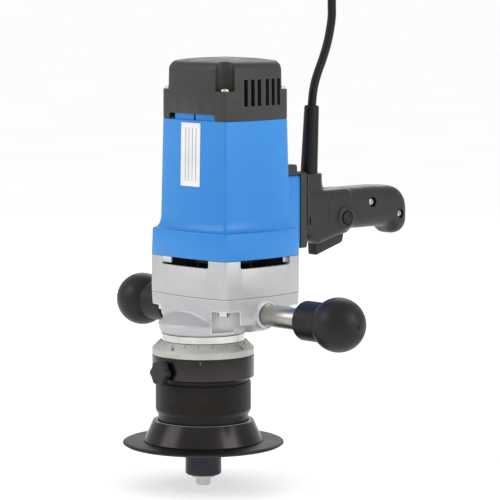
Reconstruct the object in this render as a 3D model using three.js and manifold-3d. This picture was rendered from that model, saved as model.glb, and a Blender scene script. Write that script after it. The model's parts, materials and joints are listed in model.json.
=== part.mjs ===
// Hand-held edge bevelling machine: a universal motor drives a spindle with a bevel cutter, and a
// guide plate on a threaded carriage sets the bevel depth. Millimetres, +Z up along the spindle,
// origin on the end face of the pilot bolt. The rating label is on -Y, the ball handles are on
// +X and -X, and the switch handle with its lead is on +Y.
import * as THREE from 'three';
import { mergeVertices } from 'three/addons/utils/BufferGeometryUtils.js';
import Module from 'manifold-3d';

const wasm = await Module();
wasm.setup();

// Driving dimensions

// Clearances
const seam = 0.3; // between parts that are screwed together
const running = 0.4; // between a turning part and what it runs in

// Gear train: a spur pinion on the armature drives the gear on the spindle.
const gearModule = 0.8;
const pinionTeeth = 15;
const gearTeeth = 61;
const gearThickness = 14;
const motorY = (gearModule * (pinionTeeth + gearTeeth)) / 2; // the armature's axis

// Levels along the spindle
const boltHeadHeight = 8;
const rollerBottom = 11;
const rollerHeight = 30;
const plateBottom = 41.4;
const plateThickness = 4.1;
const coneTop = 66.6;
const sleeveBottom = 58;
const knurlBottom = 78.1;
const knurlHeight = 28.5;
const clampBottom = 110.7;
const clampHeight = 22.8;
const scaleHeight = 14;
const scaleBand = 6.5;
const noseBottom = 155.4;
const caseSplit = 193.5;
const caseTop = 231.5;
const housingTop = 368.8;
const coverTop = 427.8;

// Radii about the spindle
const boltFlats = 13;
const boltShankRadius = 4;
const rollerRadius = 18.1;
const pilotBearingRadius = 12;
const plateRadius = 81;
const plateHoleRadius = 38;
const coneBaseRadius = 59.8;
const coneTopRadius = 50.6;
const sleeveRadius = 45.4;
const knurlRadius = 47.9;
const clampRadius = 51.3;
const scaleTopRadius = 43.4;
const neckRadius = 42;
const neckBore = 24;
const neckDepth = 57; // how far the threaded neck reaches below the case nose
const spigotRadius = 31;
const noseRadius = 42.6;
const spindleRadius = 8;
const spindleBearingSeat = 12.2;
const cutterRadius = 33;
const cutterHeight = 36;
const insertSize = 12.7;
const insertThickness = 3;
const insertCount = 3;

// Motor casings: squares with bowed sides, given by the half width at a corner
const caseHalf = 51.9;
const bandHalf = 51.2;
const waistHalf = 45.1;
const crownHalf = 43.4;
const bandHeight = 27;
const flareHeight = 14;
const sideBow = 0.055; // rise of each side over its width
const crownWidening = 1.01; // how much wider than a square the casings are at the crown
const baseWidening = 0.0042; // and how much more for each millimetre of half width beyond it
const cornerRadius = 4;
const casingWall = 3;
const castWall = 4;
const coverWall = 2.5;
const lipWall = 2.2; // the housing's lip inside the cover
const lipHeight = 8;

// Motor
const armatureRadius = 28;
const armatureShaft = 5;
const statorBore = 28.6;
const statorRadius = 44;
const stackBottom = 254;
const stackHeight = 70;
const yokeWidth = 8;
const poleSpread = 48; // degrees each side of a pole's middle
const coilSpread = 38;
const coilOverhang = 10;
const commutatorRadius = 17;
const commutatorHeight = 18;
const fanRadius = 38;
const fanHeight = 15;
const fanBlades = 12;
const motorBearingRadius = 13;
const motorBearingHeight = 9;

// Ball handles
const handleZ = 175;
const studRadius = 11;
const studFlats = 19;
const studThreadRadius = 8;
const bossRadius = 14.5;
const bossReach = 62; // from the casing's middle to the boss face
const rightStudReach = 52.2; // bare stud between boss and grip
const leftStudReach = 17.2;
const gripLength = 73.3;
const gripCollarRadius = 19.7;
const gripBallRadius = 26.9;
const gripBoreDepth = 32;
const gripThread = 30; // how far the stud's thread reaches into the grip

// Switch handle, in the plane x = 0
const earHalf = 16;
const earEnd = 120.3;
const earTop = 307.5;
const flangeThickness = 9;
const shellHalf = 17.5;
const gripEnd = 286;
const cableHalf = 9; // the way for the switch leads, half its width
const cableBottom = caseTop + 28;
const cableTop = earTop - 28;
const triggerHalf = 6;
const buttonRadius = 6.5;

// Lead
const leadDiameter = 8.8;
const bootHeight = 71;
const bootBaseRadius = 8.9;
const bootTopRadius = 7.5;
const coilInner = 39.7;
const coilOuter = 57.3;
const coilHeight = 26.4;
const coilX = 182;
const coilY = 362;
const plugRadius = 18;

// Depth carriage
const knobRadius = 12;
const knobLobes = 6;
const knobZ = clampBottom + 8.5;

const casingSteps = 4;
const cornerSteps = 2;
const fine = 32;
const medium = 20;
const coarse = 12;

// Geometry helpers

// A closed, welded copy of a geometry that holds positions only.
function weld(geometry) {
  const bare = new THREE.BufferGeometry();
  const flat = geometry.index ? geometry.toNonIndexed() : geometry;
  bare.setAttribute('position', flat.getAttribute('position').clone());
  return mergeVertices(bare, 1e-4);
}

function toSolid(geometry) {
  const welded = weld(geometry);
  const mesh = new wasm.Mesh({
    numProp: 3,
    vertProperties: new Float32Array(welded.attributes.position.array),
    triVerts: new Uint32Array(welded.index.array),
  });
  return new wasm.Manifold(mesh);
}

function toGeometry(solid) {
  const mesh = solid.getMesh();
  const geometry = new THREE.BufferGeometry();
  geometry.setAttribute('position', new THREE.BufferAttribute(mesh.vertProperties, 3));
  geometry.setIndex(new THREE.BufferAttribute(mesh.triVerts, 1));
  geometry.computeVertexNormals();
  return geometry;
}

// The first geometry with the others joined on.
function join(base, ...others) {
  let solid = toSolid(base);
  for (const other of others) {
    solid = solid.add(toSolid(other));
  }
  return toGeometry(solid);
}

// The first geometry with the others cut away.
function cut(base, ...others) {
  let solid = toSolid(base);
  for (const other of others) {
    solid = solid.subtract(toSolid(other));
  }
  return toGeometry(solid);
}

// A turned shape about Z. The profile's [radius, z] points run anticlockwise, outer wall upwards.
function turned(profile, segments = medium) {
  const points = profile.map(([r, z]) => new THREE.Vector2(r, z));
  const geometry = new THREE.LatheGeometry(points, segments);
  geometry.rotateX(Math.PI / 2);
  return geometry;
}

function disc(radius, bottom, top, segments = medium) {
  return turned([[0, bottom], [radius, bottom], [radius, top], [0, top]], segments);
}

function ring(inner, outer, bottom, top, segments = medium) {
  const profile = [[inner, bottom], [outer, bottom], [outer, top], [inner, top], [inner, bottom]];
  return turned(profile, segments);
}

function block(x0, x1, y0, y1, z0, z1) {
  const geometry = new THREE.BoxGeometry(x1 - x0, y1 - y0, z1 - z0);
  geometry.translate((x0 + x1) / 2, (y0 + y1) / 2, (z0 + z1) / 2);
  return geometry;
}

// A flat outline in X and Y, raised from bottom to top.
function raised(shape, bottom, top, curveSegments = 6) {
  const depth = top - bottom;
  const geometry = new THREE.ExtrudeGeometry(shape, { depth, bevelEnabled: false, curveSegments });
  geometry.translate(0, 0, bottom);
  return geometry;
}

// A side outline in Y and Z, spread along X from x0 to x1, with an optional chamfer at both ends.
function spread(shape, x0, x1, chamfer = 0) {
  const geometry = new THREE.ExtrudeGeometry(shape, {
    depth: x1 - x0 - 2 * chamfer,
    bevelEnabled: chamfer > 0,
    bevelThickness: chamfer,
    bevelSize: chamfer,
    bevelOffset: -chamfer,
    bevelSegments: 1,
    curveSegments: 5,
  });
  geometry.translate(0, 0, x0 + chamfer);
  geometry.applyMatrix4(new THREE.Matrix4().set(0, 0, 1, 0, 1, 0, 0, 0, 0, 1, 0, 0, 0, 0, 0, 1));
  return geometry;
}

// Turns a shape made about Z so that it lies about X, its upper end towards +X.
function alongX(geometry, y, z) {
  geometry.rotateY(Math.PI / 2);
  geometry.translate(0, y, z);
  return geometry;
}

// Places a shape made for the +X side, given a half turn about the motor axis for the -X side.
function onSide(geometry, side) {
  if (side < 0) {
    geometry.rotateZ(Math.PI);
    geometry.translate(0, 2 * motorY, 0);
  }
  return geometry;
}

function outline(points) {
  return new THREE.Shape(points.map(([x, y]) => new THREE.Vector2(x, y)));
}

// The section of a casing about the motor axis: bowed sides, rounded corners, wider along X.
function casingSection(half, z) {
  const corner = half - cornerRadius / Math.SQRT2;
  const rise = sideBow * 2 * corner;
  const radius = (corner ** 2 + rise ** 2) / (2 * rise);
  const swing = Math.asin(corner / radius);
  const wide = crownWidening + Math.max(0, half - crownHalf) * baseWidening;
  const deep = 1 / Math.sqrt(wide);
  const points = [];
  for (let side = 0; side < 4; side += 1) {
    const turn = (side * Math.PI) / 2;
    const add = (x, y) => {
      const c = Math.cos(turn);
      const s = Math.sin(turn);
      points.push(new THREE.Vector3((x * c - y * s) * wide, motorY + (x * s + y * c) * deep, z));
    };
    for (let i = 0; i <= casingSteps; i += 1) {
      const a = swing * ((2 * i) / casingSteps - 1);
      const reach = radius + cornerRadius;
      add(corner + rise - radius + reach * Math.cos(a), reach * Math.sin(a));
    }
    for (let i = 1; i < cornerSteps; i += 1) {
      const a = swing + (Math.PI / 2 - 2 * swing) * (i / cornerSteps);
      add(corner + cornerRadius * Math.cos(a), corner + cornerRadius * Math.sin(a));
    }
  }
  return points;
}

// A closed skin through rings of equal count, lowest first.
function loft(rings) {
  const count = rings[0].length;
  const positions = rings.flat().flatMap((p) => [p.x, p.y, p.z]);
  const index = [];
  for (let level = 0; level + 1 < rings.length; level += 1) {
    for (let i = 0; i < count; i += 1) {
      const a = level * count + i;
      const b = level * count + ((i + 1) % count);
      index.push(a, b, b + count, a, b + count, a + count);
    }
  }
  const last = (rings.length - 1) * count;
  for (let i = 1; i + 1 < count; i += 1) {
    index.push(0, i + 1, i);
    index.push(last, last + i, last + i + 1);
  }
  const geometry = new THREE.BufferGeometry();
  geometry.setAttribute('position', new THREE.Float32BufferAttribute(positions, 3));
  geometry.setIndex(index);
  return geometry;
}

// A casing body from [half width, z] levels.
function casing(levels) {
  return loft(levels.map(([half, z]) => casingSection(half, z)));
}

function node(name, geometry, colour, roughness, metalness) {
  const material = new THREE.MeshStandardMaterial({ color: colour, roughness, metalness });
  const mesh = new THREE.Mesh(geometry, material);
  mesh.name = name;
  return mesh;
}

const blackPlastic = (name, geometry) => node(name, geometry, 0x3d4344, 0.5, 0);
const bluePlastic = (name, geometry) => node(name, geometry, 0x3c93da, 0.38, 0);
const castAlloy = (name, geometry) => node(name, geometry, 0xc6c8c9, 0.45, 0.6);
const blackSteel = (name, geometry) => node(name, geometry, 0x2b2928, 0.42, 0.7);
const brightSteel = (name, geometry) => node(name, geometry, 0xb9b9b6, 0.25, 1);
const copper = (name, geometry) => node(name, geometry, 0xa5612f, 0.4, 0.9);
const rubber = (name, geometry) => node(name, geometry, 0x1c1d20, 0.6, 0);

// The four corners of the casings, as directions from the motor axis.
const corners = [[1, -1], [1, 1], [-1, 1], [-1, -1]];

// Casings

const coverPocketRadius = 9.5;
const coverPocketReach = 57 / Math.SQRT2;
const coverPocketFloor = 397;
const coverFloorThickness = 6;
const coverScrewReach = 55 / Math.SQRT2;
const coverScrewShank = 2;

const ventCount = 3;
const ventPitch = 8.6;
const ventWidth = 4.8;
const ventGap = 5.6; // from the middle of a side's vents to the first one
const ventBottom = 382.8;
const ventTop = 409.2;
const ventShift = 4.5; // the vents sit a little behind the middle of the side
const ventInside = 8; // how far the vents' cutters reach in from the corner's half width
const ventOutside = 12;
const notchHalf = 33;
const notchHeight = 6;

function ventCutters() {
  const cutters = [];
  for (const side of [-1, 1]) {
    for (const group of [-1, 1]) {
      for (let i = 0; i < ventCount; i += 1) {
        const y = motorY + ventShift + group * (ventGap + i * ventPitch);
        const y0 = y - ventWidth / 2;
        const x0 = side > 0 ? crownHalf - ventInside : -crownHalf - ventOutside;
        const x1 = x0 + ventInside + ventOutside;
        cutters.push(block(x0, x1, y0, y0 + ventWidth, ventBottom, ventTop));
      }
    }
  }
  return cutters;
}

function topCover() {
  const outer = casing([
    [crownHalf, housingTop],
    [crownHalf - 0.5, coverTop - 10],
    [crownHalf - 1.9, coverTop - 6],
    [crownHalf - 4.7, coverTop - 3.6],
    [crownHalf - 10, coverTop - 2.3],
    [crownHalf - 26, coverTop],
  ]);
  const inner = casing([
    [crownHalf - coverWall, housingTop - 1],
    [crownHalf - coverWall - 0.5, coverTop - 11],
    [crownHalf - coverWall - 6, coverTop - 6],
  ]);
  const pocket = (x, y, radius, bottom) => {
    const geometry = disc(radius, bottom, coverTop + 4, coarse);
    geometry.translate(x * coverPocketReach, motorY + y * coverPocketReach, 0);
    return geometry;
  };
  const guards = corners.map(([x, y]) => {
    return pocket(x, y, coverPocketRadius + coverWall, coverPocketFloor - coverFloorThickness);
  });
  const cavity = cut(inner, ...guards);
  const pockets = corners.map(([x, y]) => pocket(x, y, coverPocketRadius, coverPocketFloor));
  const holes = corners.map(([x, y]) => {
    const hole = disc(coverScrewShank + seam, housingTop, coverTop, coarse);
    hole.translate(x * coverScrewReach, motorY + y * coverScrewReach, 0);
    return hole;
  });
  const front = motorY - crownHalf;
  const notchTop = housingTop + notchHeight;
  const notch = block(-notchHalf, notchHalf, front - 12, front + 6, housingTop - 1, notchTop);
  const openings = [cavity, notch, ...pockets, ...holes, ...ventCutters()];
  return blackPlastic('top_cover', cut(outer, ...openings));
}

function coverScrews() {
  const head = 4.6;
  const headHeight = 3;
  const shankLength = 19;
  const seat = coverPocketFloor + seam;
  return corners.map(([x, y], i) => {
    const profile = [
      [0, seat - shankLength],
      [coverScrewShank, seat - shankLength],
      [coverScrewShank, seat],
      [head, seat],
      [head, seat + headHeight - 1],
      [head - 1.2, seat + headHeight],
      [0, seat + headHeight],
    ];
    const geometry = turned(profile, coarse);
    geometry.translate(x * coverScrewReach, motorY + y * coverScrewReach, 0);
    return brightSteel(`cover_screw_${i + 1}`, geometry);
  });
}

function motorHousing() {
  const shoulder = caseTop + bandHeight;
  const seat = housingTop - seam;
  const outer = casing([
    [caseHalf, caseTop],
    [bandHalf, shoulder - 2],
    [bandHalf - 1.6, shoulder + 0.6],
    [waistHalf + 1.7, shoulder + flareHeight * 0.3],
    [waistHalf + 0.4, shoulder + flareHeight * 0.65],
    [waistHalf, shoulder + flareHeight],
    [crownHalf, seat],
  ]);
  const lipOuter = crownHalf - coverWall - seam;
  const lip = casing([[lipOuter, seat - 4], [lipOuter, seat + lipHeight]]);
  const ear = block(-earHalf, earHalf, motorY + waistHalf - 8, earEnd, caseTop, earTop);
  const inner = casing([
    [caseHalf - casingWall, caseTop - 1],
    [bandHalf - casingWall, shoulder - 3],
    [waistHalf - casingWall, shoulder + flareHeight - 2],
    [lipOuter - lipWall, seat - 5],
    [lipOuter - lipWall, seat + lipHeight + 1],
  ]);
  const cableWay = block(-cableHalf, cableHalf, motorY, earEnd + 1, cableBottom, cableTop);
  return bluePlastic('motor_housing', cut(join(outer, lip, ear), inner, cableWay));
}

function ratingLabel() {
  const left = -12;
  const right = 15.5;
  const bottom = 303;
  const top = 366;
  const thickness = 0.4;
  const face = motorY - crownHalf - 2 * sideBow * crownHalf;
  const plate = block(left, right, face - 6, face + 6, bottom, top);
  const grown = casing([
    [waistHalf + seam + thickness, caseTop + bandHeight + flareHeight],
    [crownHalf + seam + thickness, housingTop],
  ]);
  const bare = casing([
    [waistHalf + seam, caseTop + bandHeight + flareHeight],
    [crownHalf + seam, housingTop],
  ]);
  const skin = toSolid(plate).intersect(toSolid(grown)).subtract(toSolid(bare));
  return node('rating_label', toGeometry(skin), 0xe9eaec, 0.45, 0);
}

const windowHalf = 34;
const windowHeight = 8;
const webBottom = 197;
const webTop = 210;

function fanWindows() {
  const outside = caseHalf + 20;
  const inside = caseHalf - 14;
  const bottom = caseTop - windowHeight;
  const top = caseTop + 2;
  const y0 = motorY - windowHalf;
  const y1 = motorY + windowHalf;
  return [
    block(-windowHalf, windowHalf, motorY - outside, motorY - inside, bottom, top),
    block(-windowHalf, windowHalf, motorY + inside, motorY + outside, bottom, top),
    block(inside, outside, y0, y1, bottom, top),
    block(-outside, -inside, y0, y1, bottom, top),
  ];
}

const upperSpindleBearingRadius = 11;
const upperSpindleBearingHeight = 8;
const upperJournal = 5.7; // the spindle's radius in that bearing

function upperGearCase() {
  const outer = casing([[caseHalf, caseSplit], [caseHalf, caseTop - seam]]);
  const fanRoom = casing([[caseHalf - castWall, webTop], [caseHalf - castWall, caseTop + 1]]);
  const gearRoom = casing([[caseHalf - castWall, caseSplit - 1], [caseHalf - castWall, webBottom]]);
  const shaftHole = disc(motorBearingRadius + seam, webBottom - 1, webTop + 1);
  shaftHole.translate(0, motorY, 0);
  const spindleHole = disc(upperSpindleBearingRadius + seam, webBottom - 1, webTop - 3);
  const geometry = cut(outer, fanRoom, gearRoom, shaftHole, spindleHole, ...fanWindows());
  return castAlloy('upper_gear_case', geometry);
}

const casePocketRadius = 14;
const casePocketX = 46.5;
const casePocketY = 42.9;
const casePocketTop = 181;
const caseBottom = 164;
const pocketStart = noseBottom + 3.8; // the nose ring runs on below the pockets
const gearFloor = 172;
const caseScrewX = 44;
const caseScrewHead = 6;
const caseScrewHeadHeight = 5;
const caseScrewShank = 3;
const bossRoot = 40; // where the bosses and studs begin, from the casing's middle

function lowerGearCase() {
  const seat = caseSplit - seam;
  const body = casing([
    [caseHalf - 9, caseBottom],
    [caseHalf - 4, caseBottom + 2.5],
    [caseHalf - 1.2, caseBottom + 9],
    [caseHalf - 0.4, seat - 6],
    [caseHalf, seat],
  ]);
  const nose = turned([
    [0, noseBottom],
    [noseRadius, noseBottom],
    [noseRadius + 2.6, noseBottom + 9],
    [noseRadius + 2, noseBottom + 11.5],
    [noseRadius - 12, noseBottom + 20.6],
    [noseRadius - 22, noseBottom + 24],
    [0, noseBottom + 24],
  ], fine);
  const boss = (side) => {
    return onSide(alongX(disc(bossRadius, bossRoot, bossReach), motorY, handleZ), side);
  };
  const studHole = (side) => {
    const hole = disc(studThreadRadius + seam, bossRoot - 2, bossReach + 1, coarse);
    return onSide(alongX(hole, motorY, handleZ), side);
  };
  const spindleRoom = disc(gearTeeth * gearModule / 2 + 3, gearFloor, caseSplit, medium);
  const motorRoom = disc(30, gearFloor + 2, caseSplit, medium);
  motorRoom.translate(0, motorY + 15, 0);
  const neckSeat = disc(spigotRadius + seam, noseBottom - 1, gearFloor - 6, fine);
  const throat = disc(spindleBearingSeat + 4, noseBottom, gearFloor + 1, medium);
  const pockets = corners.map(([x, y]) => {
    const pocket = disc(casePocketRadius, pocketStart, casePocketTop, coarse);
    pocket.translate(x * casePocketX, motorY + y * casePocketY, 0);
    return pocket;
  });
  const screwHoles = corners.map(([x, y]) => {
    const hole = disc(caseScrewShank + seam, casePocketTop - 1, caseSplit, coarse);
    hole.translate(x * caseScrewX, motorY + y * casePocketY, 0);
    return hole;
  });
  const geometry = cut(
    join(body, nose, boss(1), boss(-1)),
    studHole(1),
    studHole(-1),
    spindleRoom,
    motorRoom,
    neckSeat,
    throat,
    ...pockets,
    ...screwHoles,
  );
  return castAlloy('lower_gear_case', geometry);
}

function caseScrews() {
  const seat = casePocketTop - seam;
  return corners.map(([x, y], i) => {
    const profile = [
      [0, seat - caseScrewHeadHeight],
      [caseScrewHead, seat - caseScrewHeadHeight],
      [caseScrewHead, seat],
      [caseScrewShank, seat],
      [caseScrewShank, caseSplit - 1],
      [0, caseSplit - 1],
    ];
    const geometry = turned(profile, coarse);
    geometry.translate(x * caseScrewX, motorY + y * casePocketY, 0);
    return brightSteel(`case_screw_${i + 1}`, geometry);
  });
}

// Motor

// A sector of a ring about the motor axis, from angle a0 to a1 in degrees.
function ringSector(inner, outer, a0, a1, bottom, top) {
  const steps = 6;
  const at = (radius, degrees) => {
    const a = THREE.MathUtils.degToRad(degrees);
    return [radius * Math.cos(a), motorY + radius * Math.sin(a)];
  };
  const points = [];
  for (let i = 0; i <= steps; i += 1) {
    points.push(at(outer, a0 + ((a1 - a0) * i) / steps));
  }
  for (let i = steps; i >= 0; i -= 1) {
    points.push(at(inner, a0 + ((a1 - a0) * i) / steps));
  }
  return raised(outline(points), bottom, top);
}

function onMotorAxis(geometry) {
  geometry.translate(0, motorY, 0);
  return geometry;
}

// Spur gear outline with straight-flanked teeth; phase turns it by a share of one tooth.
function gearShape(teeth, boreRadius, phase) {
  const pitch = (gearModule * teeth) / 2;
  const tip = pitch + gearModule * 0.85;
  const root = pitch - gearModule * 1.25;
  const step = (2 * Math.PI) / teeth;
  const points = [];
  for (let i = 0; i < teeth; i += 1) {
    const middle = (i + phase) * step;
    for (const [radius, share] of [[root, -0.36], [tip, -0.13], [tip, 0.13], [root, 0.36]]) {
      const a = middle + share * step;
      points.push(new THREE.Vector2(radius * Math.cos(a), radius * Math.sin(a)));
    }
  }
  const shape = new THREE.Shape(points);
  if (boreRadius > 0) {
    const hole = new THREE.Path();
    hole.absarc(0, 0, boreRadius, 0, 2 * Math.PI, true);
    shape.holes.push(hole);
  }
  return shape;
}

const gearBottom = 176;
const gearTop = gearBottom + gearThickness;
const lowerMotorBearingBottom = webBottom + 2;
const bridgeBottom = 360;
const bridgePlate = 6;
const bridgeTop = bridgeBottom + bridgePlate;
const commutatorBottom = 338;
const shaftTop = bridgeTop + motorBearingHeight + 3;

function armatureShaftNode() {
  const bar = onMotorAxis(disc(armatureShaft, gearBottom - 1, shaftTop, coarse));
  const towardsGear = pinionTeeth / 4 + (pinionTeeth % 2 === 1 ? 0 : 0.5); // a gap, not a tooth
  const pinion = raised(gearShape(pinionTeeth, 0, towardsGear), gearBottom, gearTop);
  return brightSteel('armature_shaft', join(bar, onMotorAxis(pinion)));
}

function armatureCore() {
  const slots = 12;
  const slotWidth = 4;
  const slotDepth = 7;
  const half = slotWidth / 2;
  const top = stackBottom + stackHeight;
  const body = ring(armatureShaft + seam, armatureRadius, stackBottom, top);
  const cutters = [];
  for (let i = 0; i < slots; i += 1) {
    const x0 = armatureRadius - slotDepth;
    const slot = block(x0, armatureRadius + 2, -half, half, stackBottom - 1, top + 1);
    slot.rotateZ((2 * Math.PI * (i + 0.5)) / slots);
    cutters.push(slot);
  }
  return node('armature_core', onMotorAxis(cut(body, ...cutters)), 0x6f6f70, 0.5, 0.8);
}

function commutator() {
  const top = commutatorBottom + commutatorHeight;
  const body = ring(armatureShaft + seam, commutatorRadius, commutatorBottom, top);
  return copper('commutator', onMotorAxis(body));
}

function coolingFan() {
  const bottom = webTop + 3;
  const top = bottom + fanHeight;
  const hub = ring(armatureShaft + seam, 12, bottom, top, coarse);
  const plate = ring(armatureShaft + seam, fanRadius, top - 2.5, top, medium);
  const blades = [];
  for (let i = 0; i < fanBlades; i += 1) {
    const blade = block(10, fanRadius - 0.5, -1.1, 1.1, bottom, top - 1);
    blade.rotateZ((2 * Math.PI * i) / fanBlades);
    blades.push(blade);
  }
  return blackPlastic('cooling_fan', onMotorAxis(join(hub, plate, ...blades)));
}

function statorCore() {
  const top = stackBottom + stackHeight;
  const yoke = onMotorAxis(ring(statorRadius - yokeWidth, statorRadius, stackBottom, top));
  const poleOuter = statorRadius - yokeWidth / 2;
  const poles = [-90, 90].map((a) => {
    return ringSector(statorBore, poleOuter, a - poleSpread, a + poleSpread, stackBottom, top);
  });
  return node('stator_core', join(yoke, ...poles), 0x77787a, 0.5, 0.8);
}

function fieldCoils() {
  const bottom = stackBottom - coilOverhang;
  const top = stackBottom + stackHeight + coilOverhang;
  const inner = statorBore + 2 * seam;
  const outer = statorRadius - yokeWidth - 2 * seam;
  return [0, 180].map((a, i) => {
    const geometry = ringSector(inner, outer, a - coilSpread, a + coilSpread, bottom, top);
    return copper(`field_coil_${i + 1}`, geometry);
  });
}

function motorBearings() {
  const bore = armatureShaft + running;
  const bearing = (name, bottom) => {
    const race = ring(bore, motorBearingRadius, bottom, bottom + motorBearingHeight);
    return brightSteel(name, onMotorAxis(race));
  };
  return [
    bearing('lower_motor_bearing', lowerMotorBearingBottom),
    bearing('upper_motor_bearing', bridgeTop - 5),
  ];
}

const brushHalfWidth = 3;
const brushHeight = 9.4;
const brushMiddle = commutatorBottom + commutatorHeight / 2;
const brushLength = 15;
const brushSlotHalf = brushHalfWidth + seam;
const brushBottom = brushMiddle - brushHeight / 2;
const brushTop = brushMiddle + brushHeight / 2;

function bearingBridge() {
  const seatHalf = crownHalf - coverWall - seam - lipWall - 1.2;
  const plate = casing([[seatHalf, bridgeBottom], [seatHalf, bridgeTop]]);
  const hub = onMotorAxis(disc(motorBearingRadius + 4, bridgeTop - 1, bridgeTop + 6, medium));
  const boxes = [1, -1].map((side) => {
    const near = commutatorRadius + 3;
    const far = commutatorRadius + 18;
    const x0 = side > 0 ? near : -far;
    return block(x0, x0 + far - near, motorY - 6, motorY + 6, brushMiddle - 8, bridgeBottom + 1);
  });
  const seat = onMotorAxis(disc(motorBearingRadius + seam, bridgeBottom - 1, bridgeTop + 7, medium));
  const y0 = motorY - brushSlotHalf;
  const y1 = motorY + brushSlotHalf;
  const slot = block(-crownHalf, crownHalf, y0, y1, brushBottom - seam, brushTop + seam);
  const vents = [-1, 1].map((side) => {
    const y = motorY + side * 30;
    return block(-24, 24, y - 6, y + 6, bridgeBottom - 1, bridgeTop + 1);
  });
  return blackPlastic('bearing_bridge', cut(join(plate, hub, ...boxes), seat, slot, ...vents));
}

function carbonBrushes() {
  const y0 = motorY - brushHalfWidth;
  const y1 = motorY + brushHalfWidth;
  return [1, -1].map((side, i) => {
    const near = commutatorRadius + running;
    const x0 = side > 0 ? near : -near - brushLength;
    const geometry = block(x0, x0 + brushLength, y0, y1, brushBottom, brushTop);
    return node(`carbon_brush_${i + 1}`, geometry, 0x333334, 0.6, 0.2);
  });
}

// Spindle

const neckBottom = noseBottom - neckDepth;
const lowerBearingHeight = 12;
const spindleTop = webTop - 4.2;
const cutterBottom = plateBottom + 0.6;

function spindleGear() {
  const geometry = raised(gearShape(gearTeeth, spindleRadius + seam, gearTeeth / 4), gearBottom, gearTop);
  return brightSteel('spindle_gear', geometry);
}

function spindleShaft() {
  const seatTop = noseBottom + 8.6;
  const threadBore = boltShankRadius + seam;
  const tip = rollerBottom + rollerHeight + 0.6;
  const profile = [
    [threadBore, tip],
    [spindleRadius, tip],
    [spindleRadius, neckBottom - 2],
    [spindleBearingSeat, neckBottom],
    [spindleBearingSeat, seatTop],
    [spindleRadius, seatTop],
    [spindleRadius, gearTop + 4],
    [upperJournal, gearTop + 4],
    [upperJournal, spindleTop],
    [0, spindleTop],
    [0, 72],
    [threadBore, 70],
    [threadBore, tip],
  ];
  return brightSteel('spindle_shaft', turned(profile, medium));
}

function spindleBearings() {
  const outer = neckBore - seam;
  const bore = spindleBearingSeat + running;
  const low = neckBottom + 4;
  const lower = ring(bore, outer, low, low + lowerBearingHeight);
  const high = webBottom + 1;
  const highTop = high + upperSpindleBearingHeight;
  const upper = ring(upperJournal + running, upperSpindleBearingRadius, high, highTop);
  return [
    brightSteel('lower_spindle_bearing', lower),
    brightSteel('upper_spindle_bearing', upper),
  ];
}

function neckSleeve() {
  const shoulder = noseBottom - seam;
  const profile = [
    [neckBore, neckBottom],
    [neckRadius - 1, neckBottom],
    [neckRadius, neckBottom + 1],
    [neckRadius, shoulder],
    [spigotRadius, shoulder],
    [spigotRadius, gearFloor - 6 - seam],
    [neckBore, gearFloor - 6 - seam],
    [neckBore, neckBottom],
  ];
  return brightSteel('neck_sleeve', turned(profile, fine));
}

// Where insert i sits on the cutter's cone, cut or filled with a given extra all round.
function insertBlock(i, extra) {
  const half = insertSize / 2 + extra;
  const thick = insertThickness / 2 + extra;
  const geometry = block(-thick, thick, -half, half, -half, half);
  geometry.rotateX(Math.PI / 4);
  geometry.translate(0, cutterRadius - 9.5, cutterBottom + 11);
  geometry.rotateZ((2 * Math.PI * i) / insertCount);
  return geometry;
}

function cutterHead() {
  const top = cutterBottom + cutterHeight;
  const bore = spindleRadius + seam;
  const flare = cutterRadius - rollerRadius + 2;
  const profile = [
    [bore, cutterBottom],
    [rollerRadius - 2, cutterBottom],
    [cutterRadius, cutterBottom + flare],
    [cutterRadius, top],
    [bore, top],
    [bore, cutterBottom],
  ];
  const seats = Array.from({ length: insertCount }, (unused, i) => insertBlock(i, seam));
  return node('cutter_head', cut(turned(profile, medium), ...seats), 0x54565a, 0.35, 0.9);
}

function cuttingInserts() {
  return Array.from({ length: insertCount }, (unused, i) => {
    return node(`cutting_insert_${i + 1}`, insertBlock(i, 0), 0xb58b3a, 0.35, 0.9);
  });
}

function pilotBearing() {
  const top = rollerBottom + rollerHeight;
  const bore = boltShankRadius + seam;
  const race = ring(bore, pilotBearingRadius, boltHeadHeight + seam, top, coarse);
  return brightSteel('pilot_bearing', race);
}

function pilotRoller() {
  const bore = pilotBearingRadius + running;
  const top = rollerBottom + rollerHeight - 0.2;
  const profile = [
    [bore, rollerBottom],
    [rollerRadius - 1, rollerBottom],
    [rollerRadius, rollerBottom + 1],
    [rollerRadius, top - 0.6],
    [rollerRadius - 0.6, top],
    [bore, top],
    [bore, rollerBottom],
  ];
  return node('pilot_roller', turned(profile, medium), 0x34343a, 0.45, 0.5);
}

function pilotBolt() {
  const acrossCorners = boltFlats / Math.sqrt(3);
  const hexagon = new THREE.CylinderGeometry(acrossCorners, acrossCorners, boltHeadHeight, 6);
  hexagon.rotateX(Math.PI / 2);
  hexagon.rotateZ(Math.PI / 6);
  hexagon.translate(0, 0, boltHeadHeight / 2);
  const shank = disc(boltShankRadius, boltHeadHeight - 1, 66, coarse);
  return brightSteel('pilot_bolt', join(hexagon, shank));
}

// Depth carriage

const carriageBore = neckRadius + 0.5;
const mountedBore = sleeveRadius + seam;
const scaleBottom = clampBottom + clampHeight + seam;

function scaleRing() {
  const top = scaleBottom + scaleHeight;
  const profile = [
    [carriageBore, scaleBottom],
    [clampRadius - 0.1, scaleBottom],
    [clampRadius - 0.1, scaleBottom + scaleBand],
    [scaleTopRadius, top],
    [carriageBore, top],
    [carriageBore, scaleBottom],
  ];
  return node('scale_ring', turned(profile, fine), 0xa0a29b, 0.4, 0.8);
}

function guideSleeve() {
  const top = clampBottom + clampHeight;
  return blackSteel('guide_sleeve', ring(carriageBore, sleeveRadius, sleeveBottom, top, fine));
}

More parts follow.
